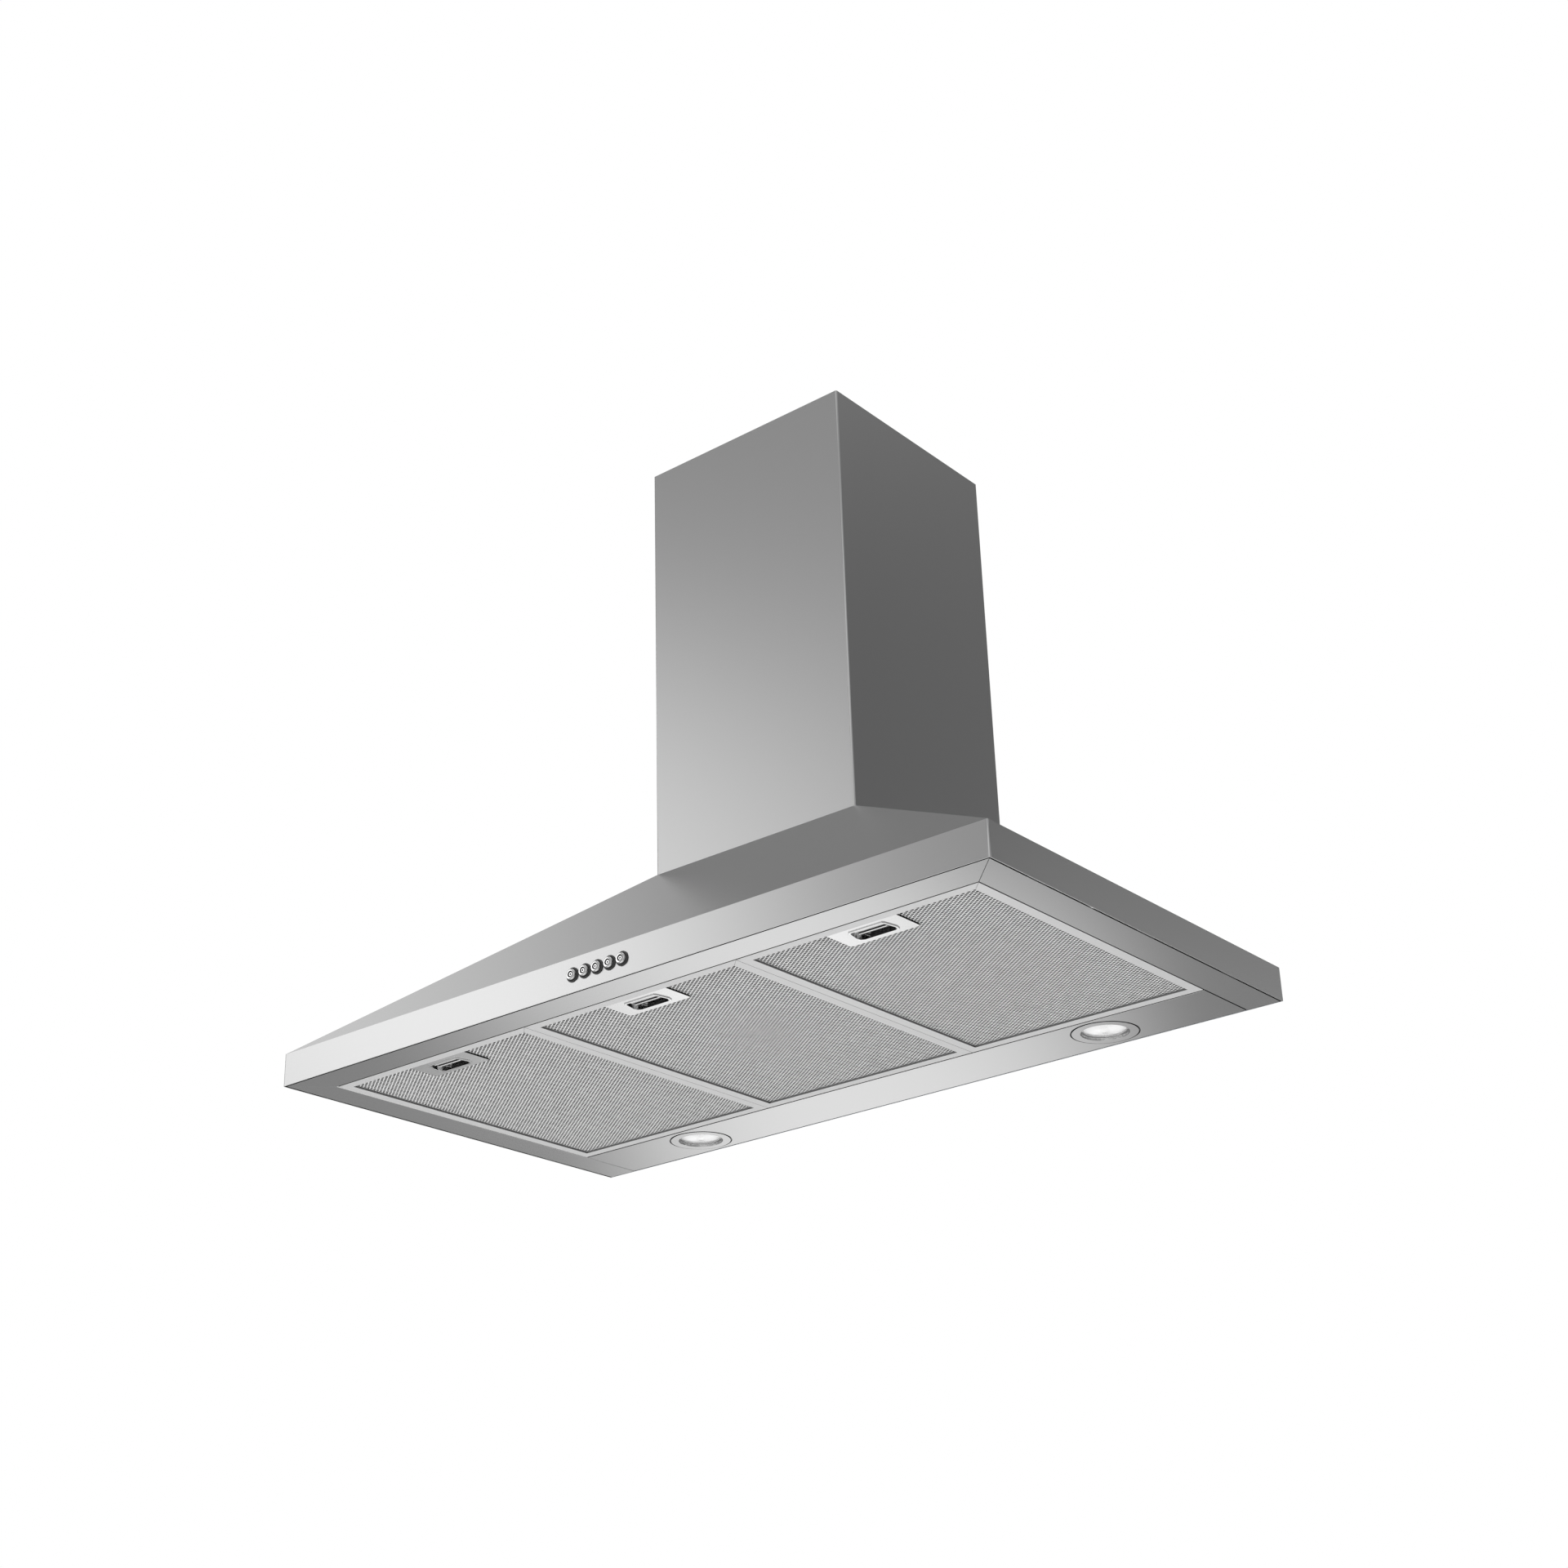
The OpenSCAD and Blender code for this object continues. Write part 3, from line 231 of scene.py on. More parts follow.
# %% Brushed metal
STEEL_TONE = 0.6
SHEET_ROUGH = (0.245, 0.26)
SHEET_SMEAR = 0.65
TONE_SPREAD = 0.008
SCRATCH_BUMP = 0.003
SCRATCH_DEPTH = 0.2 * MM
AXES = {"x": Vector((1, 0, 0)), "y": Vector((0, 1, 0)), "z": Vector((0, 0, 1))}


def brushed_metal(name, axis, side_axis=None, tone=STEEL_TONE, rough=SHEET_ROUGH,
                  smear=SHEET_SMEAR, metal=1.0, wall_shade_tone=None, front=None):
    """Metal brushed along one axis, and along another one on its left and right sides."""
    material, tree, shader = start_material(name)
    normal = add_node(tree, "ShaderNodeNewGeometry").outputs["Normal"]
    lines = grain_lines(tree, axis)
    grain = add_node(tree, "ShaderNodeCombineXYZ").outputs[0]
    for i in range(3):
        grain.node.inputs[i].default_value = AXES[axis][i]
    if side_axis:
        sideways = faces_sideways(tree, normal)
        lines = add_node(tree, "ShaderNodeMix", {"data_type": "FLOAT"}, _0=sideways,
                         _2=lines, _3=grain_lines(tree, side_axis)).outputs[0]
        turn = add_node(tree, "ShaderNodeMix", {"data_type": "VECTOR"}, _0=sideways, _4=grain)
        turn.inputs[5].default_value = AXES[side_axis]
        grain = turn.outputs[1]
    colour = add_node(tree, "ShaderNodeMix", {"data_type": "RGBA"},
                      _0=spread_value(tree, lines, 0, 1))
    colour.inputs[6].default_value = grey(tone * (1 - TONE_SPREAD))
    colour.inputs[7].default_value = grey(tone * (1 + TONE_SPREAD))
    finish = colour.outputs[2]
    # Walls in narrow gaps, and the panel's front bend, get painted shade
    if wall_shade_tone is not None:
        finish = paint_wall_shade(tree, finish, wall_shade_tone, front)
    tree.links.new(finish, shader.inputs["Base Color"])
    tree.links.new(spread_value(tree, lines, *rough), shader.inputs["Roughness"])
    relief = add_node(tree, "ShaderNodeBump", Height=lines, Strength=SCRATCH_BUMP,
                      Distance=SCRATCH_DEPTH)
    tree.links.new(relief.outputs[0], shader.inputs["Normal"])
    smear_way = add_node(tree, "ShaderNodeVectorMath", {"operation": "CROSS_PRODUCT"},
                         _0=normal, _1=grain)
    tree.links.new(smear_way.outputs[0], shader.inputs["Tangent"])
    shader.inputs["Metallic"].default_value = metal
    shader.inputs["Anisotropic"].default_value = smear
    return material


print("steel mirrors", STEEL_TONE, "of the light")

# %% [markdown]
# The sheets don't all come from the same coil. The chimney's is the dullest, the canopy's a
# little finer, and the narrow trim round the filters is nearly polished, so that what it
# mirrors shows in it as clear bands. One finish for all would be quicker to set up, but no
# real hood matches that well.

# %% Steels of the hood
CANOPY_ROUGH = (0.23, 0.24)
TRIM_ROUGH = (0.15, 0.16)
TRIM_SMEAR = 0.5
SIDE_TRIM_ROUGH = (0.13, 0.14)
SIDE_TRIM_SMEAR = 0.1
# How far behind the lamp panel's front edge its bend gets painted shade
PANEL_BEND = 0.9 * MM

steel_x = brushed_metal("steel brushed along x", "x", "y", rough=CANOPY_ROUGH)
steel_z = brushed_metal("steel brushed along z", "z")
# The trim and the lamp panel get painted shade on their walls in the gaps
trim_x = brushed_metal("steel trim brushed along x", "x", rough=TRIM_ROUGH, smear=TRIM_SMEAR,
                       wall_shade_tone=WALL_SHADE_TONE)
trim_y = brushed_metal("steel trim brushed along y", "y", rough=SIDE_TRIM_ROUGH,
                       smear=SIDE_TRIM_SMEAR, wall_shade_tone=WALL_SHADE_TONE)
panel_steel = brushed_metal("lamp panel steel", "x", rough=TRIM_ROUGH, smear=TRIM_SMEAR,
                            wall_shade_tone=WALL_SHADE_TONE, front=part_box("lamp_panel")[0].y + PANEL_BEND)
for steel in (steel_x, steel_z, trim_x, trim_y, panel_steel):
    print("made", steel.name)

# %% [markdown]
# ## Softening folded edges
# A press brake can't fold a sheet to a knife edge. Even a tight bend has a radius of about half
# a millimetre, and it catches a thin line of light that says metal. The solids come as loose
# triangles with sharp edges, so three modifiers do it without touching the mesh itself: Weld
# joins the triangles, Decimate melts flat ones into one face, and Bevel rounds what is sharp.

# %% Soft edges
SHARP = math.radians(35)
NEARLY_FLAT = math.radians(0.5)
JOIN_WITHIN = 0.01 * MM
BEND_SEGMENTS = 2


def soften(obj, width):
    """Rounds the sharp edges of a solid by the given width."""
    weld = obj.modifiers.new("join faces", "WELD")
    weld.merge_threshold = JOIN_WITHIN
    flat = obj.modifiers.new("melt flat faces", "DECIMATE")
    flat.decimate_type = "DISSOLVE"
    flat.angle_limit = NEARLY_FLAT
    bend = obj.modifiers.new("round edges", "BEVEL")
    bend.width = width
    bend.segments = BEND_SEGMENTS
    bend.limit_method = "ANGLE"
    bend.angle_limit = SHARP
    bend.use_clamp_overlap = True
    bend.harden_normals = True


def dress(node, material, edge=0.0):
    """Gives a solid its finish, and round edges if it has any."""
    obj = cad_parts[node]
    for slot in obj.material_slots:
        slot.link = "OBJECT"
        slot.material = material
    if edge:
        soften(obj, edge)


print("edges above", round(math.degrees(SHARP)), "degrees get rounded")

# %% [markdown]
# ## Canopy and chimney
# The rim and the skirt are brushed along the hood's width. The two chimney covers are brushed
# from bottom to top, as they are cut from a sheet that is taller than it is wide. The border
# strips follow the edge that they lie on. All of them are plain folded sheet, which the solids
# already have right, so they keep their meshes and only get a finish and soft edges.

# %% Canopy and chimney
CANOPY_EDGE = 0.5 * MM
SHEET_EDGE = 0.4 * MM

dress("canopy_shell", steel_x, CANOPY_EDGE)
SHEETS = {
    "lower_chimney": steel_z, "upper_chimney": steel_z, "front_strip": trim_x,
    "left_strip": trim_y, "right_strip": trim_y, "lamp_panel": panel_steel,
}
for node, steel in SHEETS.items():
    dress(node, steel, SHEET_EDGE)
print("dressed the canopy and", len(SHEETS), "sheets")

# %% [markdown]
# ## Aluminium of the filters
# The filters are aluminium, so that they can go into a dishwasher. It is lighter than the steel
# and much duller, because it is left as rolled. The walls of the frame are painted darker, as
# painted shade of their own flange, though less dark than the painted shade on the cut steel.

# %% Aluminium
# Tone of the painted shade on the walls of the filter frames
FRAME_WALL_SHADE_TONE = 0.12

frame_metal = brushed_metal("filter frame aluminium", "x", "y", tone=0.66, rough=(0.42, 0.5),
                            smear=0.2, metal=0.4, wall_shade_tone=FRAME_WALL_SHADE_TONE)
for side in SIDES:
    dress("filter_frame_" + side, frame_metal, SHEET_EDGE)
print("dressed", len(SIDES), "filter frames")

# %% [markdown]
# ## Expanded mesh
# Expanded mesh is a foil that is slit in a brick pattern and then pulled, so that each slit
# opens to a diamond. Nothing is cut away, and each strand twists as it is pulled, so the front
# and the rear corner of a diamond don't lie at the same height. That twist is what sparkles.
# A wire modifier on a grid would give square wires that don't twist, and a picture of holes
# would stay flat when the light moves. So each diamond is built with its own four corners.

# %% Diamonds of the mesh
CELL_X = 6.1 * MM
CELL_Y = 4.3 * MM
STRAND = 1.4 * MM
TWIST = -0.25 * MM
FOIL = 0.35 * MM


def mesh_holes(bm, low, high, cell_x, cell_y, strand, z):
    """Builds the walls of each diamond, and returns its front, right, rear and left corner on
    the lower and on the upper side of the foil."""
    half_x = cell_x / 2 - strand * cell_x / cell_y / 2
    half_y = cell_y / 2 - strand / 2
    columns = int((high.x - low.x) / cell_x * 2)
    rows = int((high.y - low.y) / cell_y * 2)
    start_x = (low.x + high.x - columns * cell_x / 2) / 2
    start_y = (low.y + high.y - rows * cell_y / 2) / 2
    corners = {}
    for i in range(columns + 1):
        for j in range(i % 2, rows + 1, 2):
            x = start_x + i * cell_x / 2
            y = start_y + j * cell_y / 2
            places = [(x, y - half_y, z - TWIST), (x + half_x, y, z),
                      (x, y + half_y, z + TWIST), (x - half_x, y, z)]
            below = [bm.verts.new(p) for p in places]
            above = [bm.verts.new((p[0], p[1], p[2] + FOIL)) for p in places]
            corners[i, j] = below, above
            for k in range(4):
                n = (k + 1) % 4
                bm.faces.new((below[k], below[n], above[n], above[k]))
    return corners


print("a diamond is", CELL_X / MM, "by", CELL_Y / MM, "mm")

# %% [markdown]
# What is left between the diamonds is the foil. A strand is the quad between two neighbouring
# diamonds, and a bond is the small quad where four of them meet. Both use the corners that are
# there already, so a layer needs no more points than its holes have.

# %% Strands and bonds
def expanded_layer(bm, low, high, cell_x, cell_y, strand, z):
    """Adds one layer of expanded mesh between two corners, at height z."""
    front, right, rear, left = range(4)
    corners = mesh_holes(bm, low, high, cell_x, cell_y, strand, z)
    for (i, j), cell in corners.items():
        ahead = corners.get((i + 1, j - 1))
        behind = corners.get((i + 1, j + 1))
        beside = corners.get((i + 2, j))
        for level in (0, 1):
            a = cell[level]
            quads = []
            if ahead:
                b = ahead[level]
                quads.append((a[front], b[left], b[rear], a[right]))
            if behind:
                b = behind[level]
                quads.append((a[right], b[front], b[left], a[rear]))
            if ahead and behind and beside:
                quads.append((a[right], ahead[level][rear],
                              beside[level][left], behind[level][front]))
            for quad in quads:
                bm.faces.new(quad if level == 0 else quad[::-1])


# %% [markdown]
# A bmesh only becomes visible once it is turned into an object. All the finer pieces need
# that, so it gets a helper too, which says what it made.

# %% From bmesh to object
def new_piece(name, bm, materials, smooth=False):
    """Turns a bmesh into an object of the scene."""
    bm.normal_update()
    mesh = bpy.data.meshes.new(name)
    bm.to_mesh(mesh)
    bm.free()
    for material in materials:
        mesh.materials.append(material)
    for face in mesh.polygons:
        face.use_smooth = smooth
    obj = bpy.data.objects.new(name, mesh)
    bpy.context.scene.collection.objects.link(obj)
    print("made", name, "with", len(mesh.polygons), "faces")
    return obj


# %% [markdown]
# A real filter is a pack of many layers of foil. From below only the first one is seen,
# and behind it darkness with a hint of more strands. So the pack gets one fine layer in front,
# a coarser one behind it whose foil is painted nearly black as painted shade, and a flat sheet
# painted black as painted shade. All of them as fine as the first would be slow and look no
# different. A coarse layer closes the top, which shows when a filter hangs open. The foil is
# lighter and darker in patches a few strands wide, as no two strands twist quite alike.

# %% Foil of the mesh
PATCH_SCALE = 150.0
PATCH_DETAIL = 5.0
PATCH_SPREAD = 0.1


def mesh_foil(name, tone, rough, metal):
    """Aluminium foil, lighter and darker in patches a few strands wide."""
    material, tree, shader = start_material(name)
    patches = add_node(tree, "ShaderNodeTexNoise", Vector=object_place(tree),
                       Scale=PATCH_SCALE, Detail=PATCH_DETAIL).outputs["Fac"]
    colour = add_node(tree, "ShaderNodeMix", {"data_type": "RGBA"},
                      _0=spread_value(tree, patches, 0, 1))
    colour.inputs[6].default_value = grey(tone * (1 - PATCH_SPREAD))
    colour.inputs[7].default_value = grey(tone * (1 + PATCH_SPREAD))
    tree.links.new(colour.outputs[2], shader.inputs["Base Color"])
    tree.links.new(spread_value(tree, patches, rough, rough + PATCH_SPREAD),
                   shader.inputs["Roughness"])
    shader.inputs["Metallic"].default_value = metal
    return material


mesh_front = mesh_foil("mesh foil", tone=0.88, rough=0.4, metal=0.35)
# The back layer's foil and the sheet above it are painted nearly black as painted shade
mesh_back_painted_shade = mesh_foil("mesh foil with painted shade", tone=0.05, rough=0.6, metal=0.0)
painted_shade_backing = mesh_foil("painted shade inside the pack", tone=0.02, rough=0.6, metal=0.0)
print("made", mesh_front.name, mesh_back_painted_shade.name, painted_shade_backing.name)

# %% [markdown]
# Only the first layer needs diamonds of the true size, so the others have larger ones with
# broader strands. The latch sits in a cup that goes up into the pack, so the mesh above its
# plate is taken out. A boolean would be slow on so many faces, so they are chosen by their
# middles instead.

# %% Coarse layers, and room for the latch
COARSE_CELL = 2.2
COARSE_STRAND = 1.6


def coarse_layer(bm, low, high, z):
    expanded_layer(bm, low, high, CELL_X * COARSE_CELL, CELL_Y * COARSE_CELL,
                   STRAND * COARSE_STRAND, z)


def cut_for_latch(bm, side):
    """Takes out the mesh above the latch plate."""
    low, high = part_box("latch_plate_" + side)
    inside = [f for f in bm.faces
              if low.x < f.calc_center_median().x < high.x
              and f.calc_center_median().y < high.y]
    bmesh.ops.delete(bm, geom=inside, context="FACES")
    print("took out", len(inside), "faces for the latch")


# %% [markdown]
# The visible opening of a filter is the frame less its flange. The mesh is tucked a little way
# over the flange, and hangs a little lower than its solid, so that it looks nearly flush from
# below. It rides on its filter, and swings down with it.

# %% Mesh of each filter
FLANGE = 11 * MM
TUCK = 2.5 * MM
MESH_DROP = 2.5 * MM
LAYER_GAP = 2.2 * MM
TOP_LAYER = 1.2 * MM
BACK = 1
SHADE_SHEET = 2


def filter_mesh(side):
    frame_low, frame_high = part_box("filter_frame_" + side)
    solid_low, solid_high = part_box("filter_mesh_" + side)
    margin = FLANGE - TUCK
    low = Vector((frame_low.x + margin, solid_low.y + margin, 0))
    high = Vector((frame_high.x - margin, solid_high.y - margin, 0))
    bm = bmesh.new()
    z = solid_low.z + abs(TWIST) - MESH_DROP
    expanded_layer(bm, low, high, CELL_X, CELL_Y, STRAND, z)
    first = len(bm.faces)
    coarse_layer(bm, low, high, z + LAYER_GAP)
    bm.faces.ensure_lookup_table()
    # The coarse layer behind gets the foil painted as shade
    for face in bm.faces[first:]:
        face.material_index = BACK
    cut_for_latch(bm, side)
    coarse_layer(bm, low, high, solid_high.z - abs(TWIST) - FOIL)
    top = solid_high.z - TOP_LAYER
    corners = [(low.x, low.y), (high.x, low.y), (high.x, high.y), (low.x, high.y)]
    # A flat sheet painted black as painted shade closes the pack
    painted_shade_sheet = bm.faces.new([bm.verts.new((x, y, top)) for x, y in reversed(corners)])
    painted_shade_sheet.material_index = SHADE_SHEET
    piece = new_piece("mesh_pack_" + side, bm, (mesh_front, mesh_back_painted_shade, painted_shade_backing))
    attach(piece, "filter_" + side)
    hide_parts("filter_mesh_" + side)


for side in SIDES:
    filter_mesh(side)

# %% [markdown]
# ## Plain metals and plastics
# Chrome, zinc, paint and moulded plastic have no grain. What keeps them from looking like one
# flat colour is that their roughness wavers a little, as hands and time leave it, and moulded
# or painted pieces have a very fine bump as well. One helper makes them all.

# %% Glossy finishes
CLOUD_DETAIL = 4.0
SKIN_SCALE = 2500.0
SKIN_DETAIL = 2.0
SKIN_DEPTH = 0.2 * MM


def glossy(name, colour, rough, metallic=1.0, waver=0.04, scale=60.0, bump=0.0):
    """A smooth finish whose roughness wavers a little, with a fine bump if asked for."""
    material, tree, shader = start_material(name)
    place = object_place(tree)
    cloud = add_node(tree, "ShaderNodeTexNoise", Vector=place, Scale=scale, Detail=CLOUD_DETAIL)
    shader.inputs["Base Color"].default_value = colour
    shader.inputs["Metallic"].default_value = metallic
    tree.links.new(spread_value(tree, cloud.outputs["Fac"], rough, rough + waver),
                   shader.inputs["Roughness"])
    if bump:
        fine = add_node(tree, "ShaderNodeTexNoise", Vector=place, Scale=SKIN_SCALE,
                        Detail=SKIN_DETAIL)
        relief = add_node(tree, "ShaderNodeBump", Height=fine.outputs["Fac"],
                          Strength=bump, Distance=SKIN_DEPTH)
        tree.links.new(relief.outputs[0], shader.inputs["Normal"])
    return material


chrome = glossy("chrome", grey(0.85), 0.06)
black_plastic = glossy("black plastic", grey(0.02), 0.35, metallic=0.0, bump=0.1)
white_plastic = glossy("white plastic", (0.78, 0.77, 0.72, 1.0), 0.4, metallic=0.0, bump=0.1)
grey_plastic = glossy("grey plastic", grey(0.18), 0.45, metallic=0.0, bump=0.15)
zinc = glossy("zinc sheet", (0.55, 0.57, 0.6, 1.0), 0.38, scale=25.0)
screw_zinc = glossy("bright zinc", (0.62, 0.62, 0.6, 1.0), 0.3, scale=200.0)
motor_paint = glossy("motor paint", grey(0.05), 0.45, metallic=0.0, bump=0.2)
ground_steel = glossy("ground steel", grey(0.6), 0.2)
print("made", len(bpy.data.materials), "materials so far")

# %% [markdown]
# ## Latches
# The plate round each latch is polished aluminium: it mirrors whatever glows below, and its cut
# edges are painted dark as painted shade. The bezel is chromed. The sliding bar is glossy black,
# with two ridges for a fingertip. Their crests are painted light grey as a painted highlight,
# and the rest stays black. The crests are the lowest part of the bar, so their height picks them
# out.

# %% Latches
PLATE_TONE = 0.82
BAR_TONE = 0.02
# Tone of the painted highlight on the bar's crests
CREST_HIGHLIGHT_TONE = 0.7
CREST = 0.35 * MM


def polished_plate():
    material = glossy("polished plate", grey(PLATE_TONE), 0.14, waver=0.02)
    tree = material.node_tree
    # The cut edges of the plate get painted shade
    tree.links.new(paint_wall_shade(tree, grey(PLATE_TONE)), main_shader(tree).inputs["Base Color"])
    return material


def latch_bar_finish():
    material = glossy("latch bar", grey(BAR_TONE), 0.25, metallic=0.0)
    tree = material.node_tree
    z = add_node(tree, "ShaderNodeSeparateXYZ", _0=object_place(tree)).outputs[2]
    # The crests get a light grey as a painted highlight
    crest = add_node(tree, "ShaderNodeMath", {"operation": "LESS_THAN"}, _0=z,
                     _1=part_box("latch_bar_middle")[0].z + CREST)
    mix = add_node(tree, "ShaderNodeMix", {"data_type": "RGBA"}, _0=crest.outputs[0])
    mix.inputs[6].default_value = grey(BAR_TONE)
    mix.inputs[7].default_value = grey(CREST_HIGHLIGHT_TONE)
    tree.links.new(mix.outputs[2], main_shader(tree).inputs["Base Color"])
    return material


pale_plate = polished_plate()
latch_bar = latch_bar_finish()
for side in SIDES:
    dress("latch_plate_" + side, pale_plate)
    dress("latch_bezel_" + side, chrome, 0.3 * MM)
    dress("latch_bar_" + side, latch_bar, 0.2 * MM)
print("dressed", len(SIDES), "latches")

# %% [markdown]
# ## Turned pieces
# Buttons and reflectors are round. Each is drawn as half an outline, from the middle out, and
# turned about its axis. Blender's Screw modifier does that as well, but in code we can also
# mark single stretches of the outline with another material.

# %% Turning an outline
def turned(name, outline, place, up, materials, steps=48, smooth=True, close=False, marks=None):
    """Turns points (radius, height) in millimetres about the axis up through place."""
    turn = Vector((0, 0, 1)).rotation_difference(up).to_matrix()
    bm = bmesh.new()
    rings = []
    for radius, height in outline:
        count = steps if radius else 1
        ring = []
        for k in range(count):
            a = 2 * math.pi * k / steps
            point = Vector((radius * math.cos(a), radius * math.sin(a), height)) * MM
            ring.append(bm.verts.new(place + turn @ point))
        rings.append(ring)
    if close:
        rings.append(rings[0])
    for row, (inner, outer) in enumerate(zip(rings, rings[1:])):
        for k in range(steps):
            n = (k + 1) % steps
            corners = [inner[k % len(inner)], outer[k % len(outer)],
                       outer[n % len(outer)], inner[n % len(inner)]]
            corners = list(dict.fromkeys(corners))
            if len(corners) > 2:
                bm.faces.new(corners).material_index = marks[row] if marks else 0
    bmesh.ops.recalc_face_normals(bm, faces=bm.faces[:])
    return new_piece(name, bm, materials, smooth)


# %% [markdown]
# ## Buttons
# Each button is a chromed cap, slightly domed, with a well-rounded edge. A groove with a small
# chromed ring in it marks the middle, so that a fingertip finds it in the dark. The floor of the
# groove and the hollow inside the ring are painted black as painted shade. The steps of the
# groove must stay crisp while the dome stays smooth, so the edges are split where the surface
# turns by more than a set angle.

# %% Buttons
# Radius and height in mm, and 1 where the stretch that starts there is black, as painted shade
CAP_OUTLINE = (
    (0, -1.5, 1), (0.95, -1.5, 1), (1.0, -0.9, 0), (1.15, -0.7, 0), (1.8, -0.7, 0),
    (2.0, -0.9, 0), (2.05, -1.7, 1), (3.1, -1.7, 1), (3.15, -0.2, 0), (3.25, 0.0, 0),
    (4.1, -0.05, 0), (4.85, -0.15, 0), (5.1, -0.35, 0), (5.3, -0.7, 0), (5.42, -1.2, 0),
    (5.5, -2.0, 0), (5.5, -8.0, 0), (2.5, -8.0, 0), (2.5, -24.0, 0), (0, -24.0, 0),
)
CRISP_CORNER = math.radians(28)
OUTWARD = Vector((0, -1, 0))


def button_cap(button):
    low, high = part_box(button)
    front = Vector(((low.x + high.x) / 2, low.y, (low.z + high.z) / 2))
    outline = [(radius, height) for radius, height, _ in CAP_OUTLINE]
    # Stretches marked 1 get black plastic as painted shade
    marks = [black for _, _, black in CAP_OUTLINE]
    cap = turned(button + "_cap", outline, front, OUTWARD, [chrome, black_plastic], marks=marks)
    edges = cap.modifiers.new("crisp corners", "EDGE_SPLIT")
    edges.split_angle = CRISP_CORNER
    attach(cap, button)
    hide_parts(button)


for button in BUTTONS:
    button_cap(button)
dress("button_collars", black_plastic, 0.1 * MM)
print("turned", len(BUTTONS), "button caps")

# %% [markdown]
# ## Lamps
# A lamp is a flat steel ring, a pressed glass and a reflector. The ring lies in a hole that is
# a little larger than its face. In that gap its flange is painted black as painted shade, a thin
# black circle. We find the flange by its distance from the lamp's middle. Both lamps stand at the
# same place left and right, so the distance is measured with mirrored coordinates, and one
# material serves.

# %% Steel of the lamp rings
RING_FLANGE = 4.7 * MM


def ring_steel():
    """Steel of the ring, with painted shade where its flange shows in the gap round it."""
    material = brushed_metal("lamp ring steel", "x", rough=TRIM_ROUGH, smear=TRIM_SMEAR)
    tree = material.node_tree
    shader = main_shader(tree)
    low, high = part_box("lamp_glass_right")
    ring_low, ring_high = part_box("lamp_bezel_right")
    mirrored = add_node(tree, "ShaderNodeVectorMath", {"operation": "ABSOLUTE"},
                        _0=object_place(tree))
    flat = add_node(tree, "ShaderNodeVectorMath", {"operation": "MULTIPLY"},
                    _0=mirrored.outputs[0])
    flat.inputs[1].default_value = (1, 1, 0)
    far = add_node(tree, "ShaderNodeVectorMath", {"operation": "DISTANCE"}, _0=flat.outputs[0])
    far.inputs[1].default_value = ((low.x + high.x) / 2, abs(low.y + high.y) / 2, 0)
    ring_radius = (ring_high.x - ring_low.x) / 2 - RING_FLANGE
    # Beyond this radius lies the flange, which gets painted shade
    outside = add_node(tree, "ShaderNodeMath", {"operation": "GREATER_THAN"},
                       _0=far.outputs["Value"], _1=ring_radius)
    colour = shader.inputs["Base Color"].links[0].from_socket
    mix = add_node(tree, "ShaderNodeMix", {"data_type": "RGBA"}, _0=outside.outputs[0], _6=colour)
    mix.inputs[7].default_value = grey(WALL_SHADE_TONE)
    tree.links.new(mix.outputs[2], shader.inputs["Base Color"])
    return material


lamp_ring = ring_steel()
print("made", lamp_ring.name)

# %% [markdown]
# The glass is pressed, not blown: it bulges down through the ring, and shallow rays run from
# near its middle to its rim to spread the light. They are real waves in the mesh, because a
# bump alone would leave its outline smooth. The glass looks milky from below, so most of its
# shader is a bright white surface, and a little light passes through.

# %% Pressed glass
GLASS_TONE = 0.97
GLASS_CLEAR = 0.05
RINGS = 14
FLUTES = 36
FLUTE_STEPS = 4
# The lens is drawn in millimetres, as the buttons are
GLASS_THICK = 2.0
BULGE = 2.4
FLUTE_DEPTH = 0.9
# The lens's radius as a share of the glass's, and where on the lens a ray starts and how long
# it is, as shares of the lens's radius
LENS_SHARE = 0.925
FLUTE_START_SHARE = 0.2
FLUTE_LENGTH_SHARE = 0.75

lamp_glass = glossy("lamp glass", grey(GLASS_TONE), 0.04, metallic=0.0)
main_shader(lamp_glass.node_tree).inputs["Transmission Weight"].default_value = GLASS_CLEAR


def lens_ring(bm, middle, radius, share):
    """One ring of the lens at a share of its radius, waved by the rays."""
    count = FLUTES * FLUTE_STEPS
    along = min(1.0, max(0.0, (share - FLUTE_START_SHARE) / FLUTE_LENGTH_SHARE))
    ray = math.sin(math.pi * along)
    r = LENS_SHARE * radius * share
    ring = []
    for k in range(count):
        a = 2 * math.pi * k / count
        z = -GLASS_THICK - BULGE * (1 - share * share)
        z += FLUTE_DEPTH * ray * (1 + math.cos(FLUTES * a)) / 2
        ring.append(bm.verts.new(middle + Vector((r * math.cos(a), r * math.sin(a), z)) * MM))
    return ring


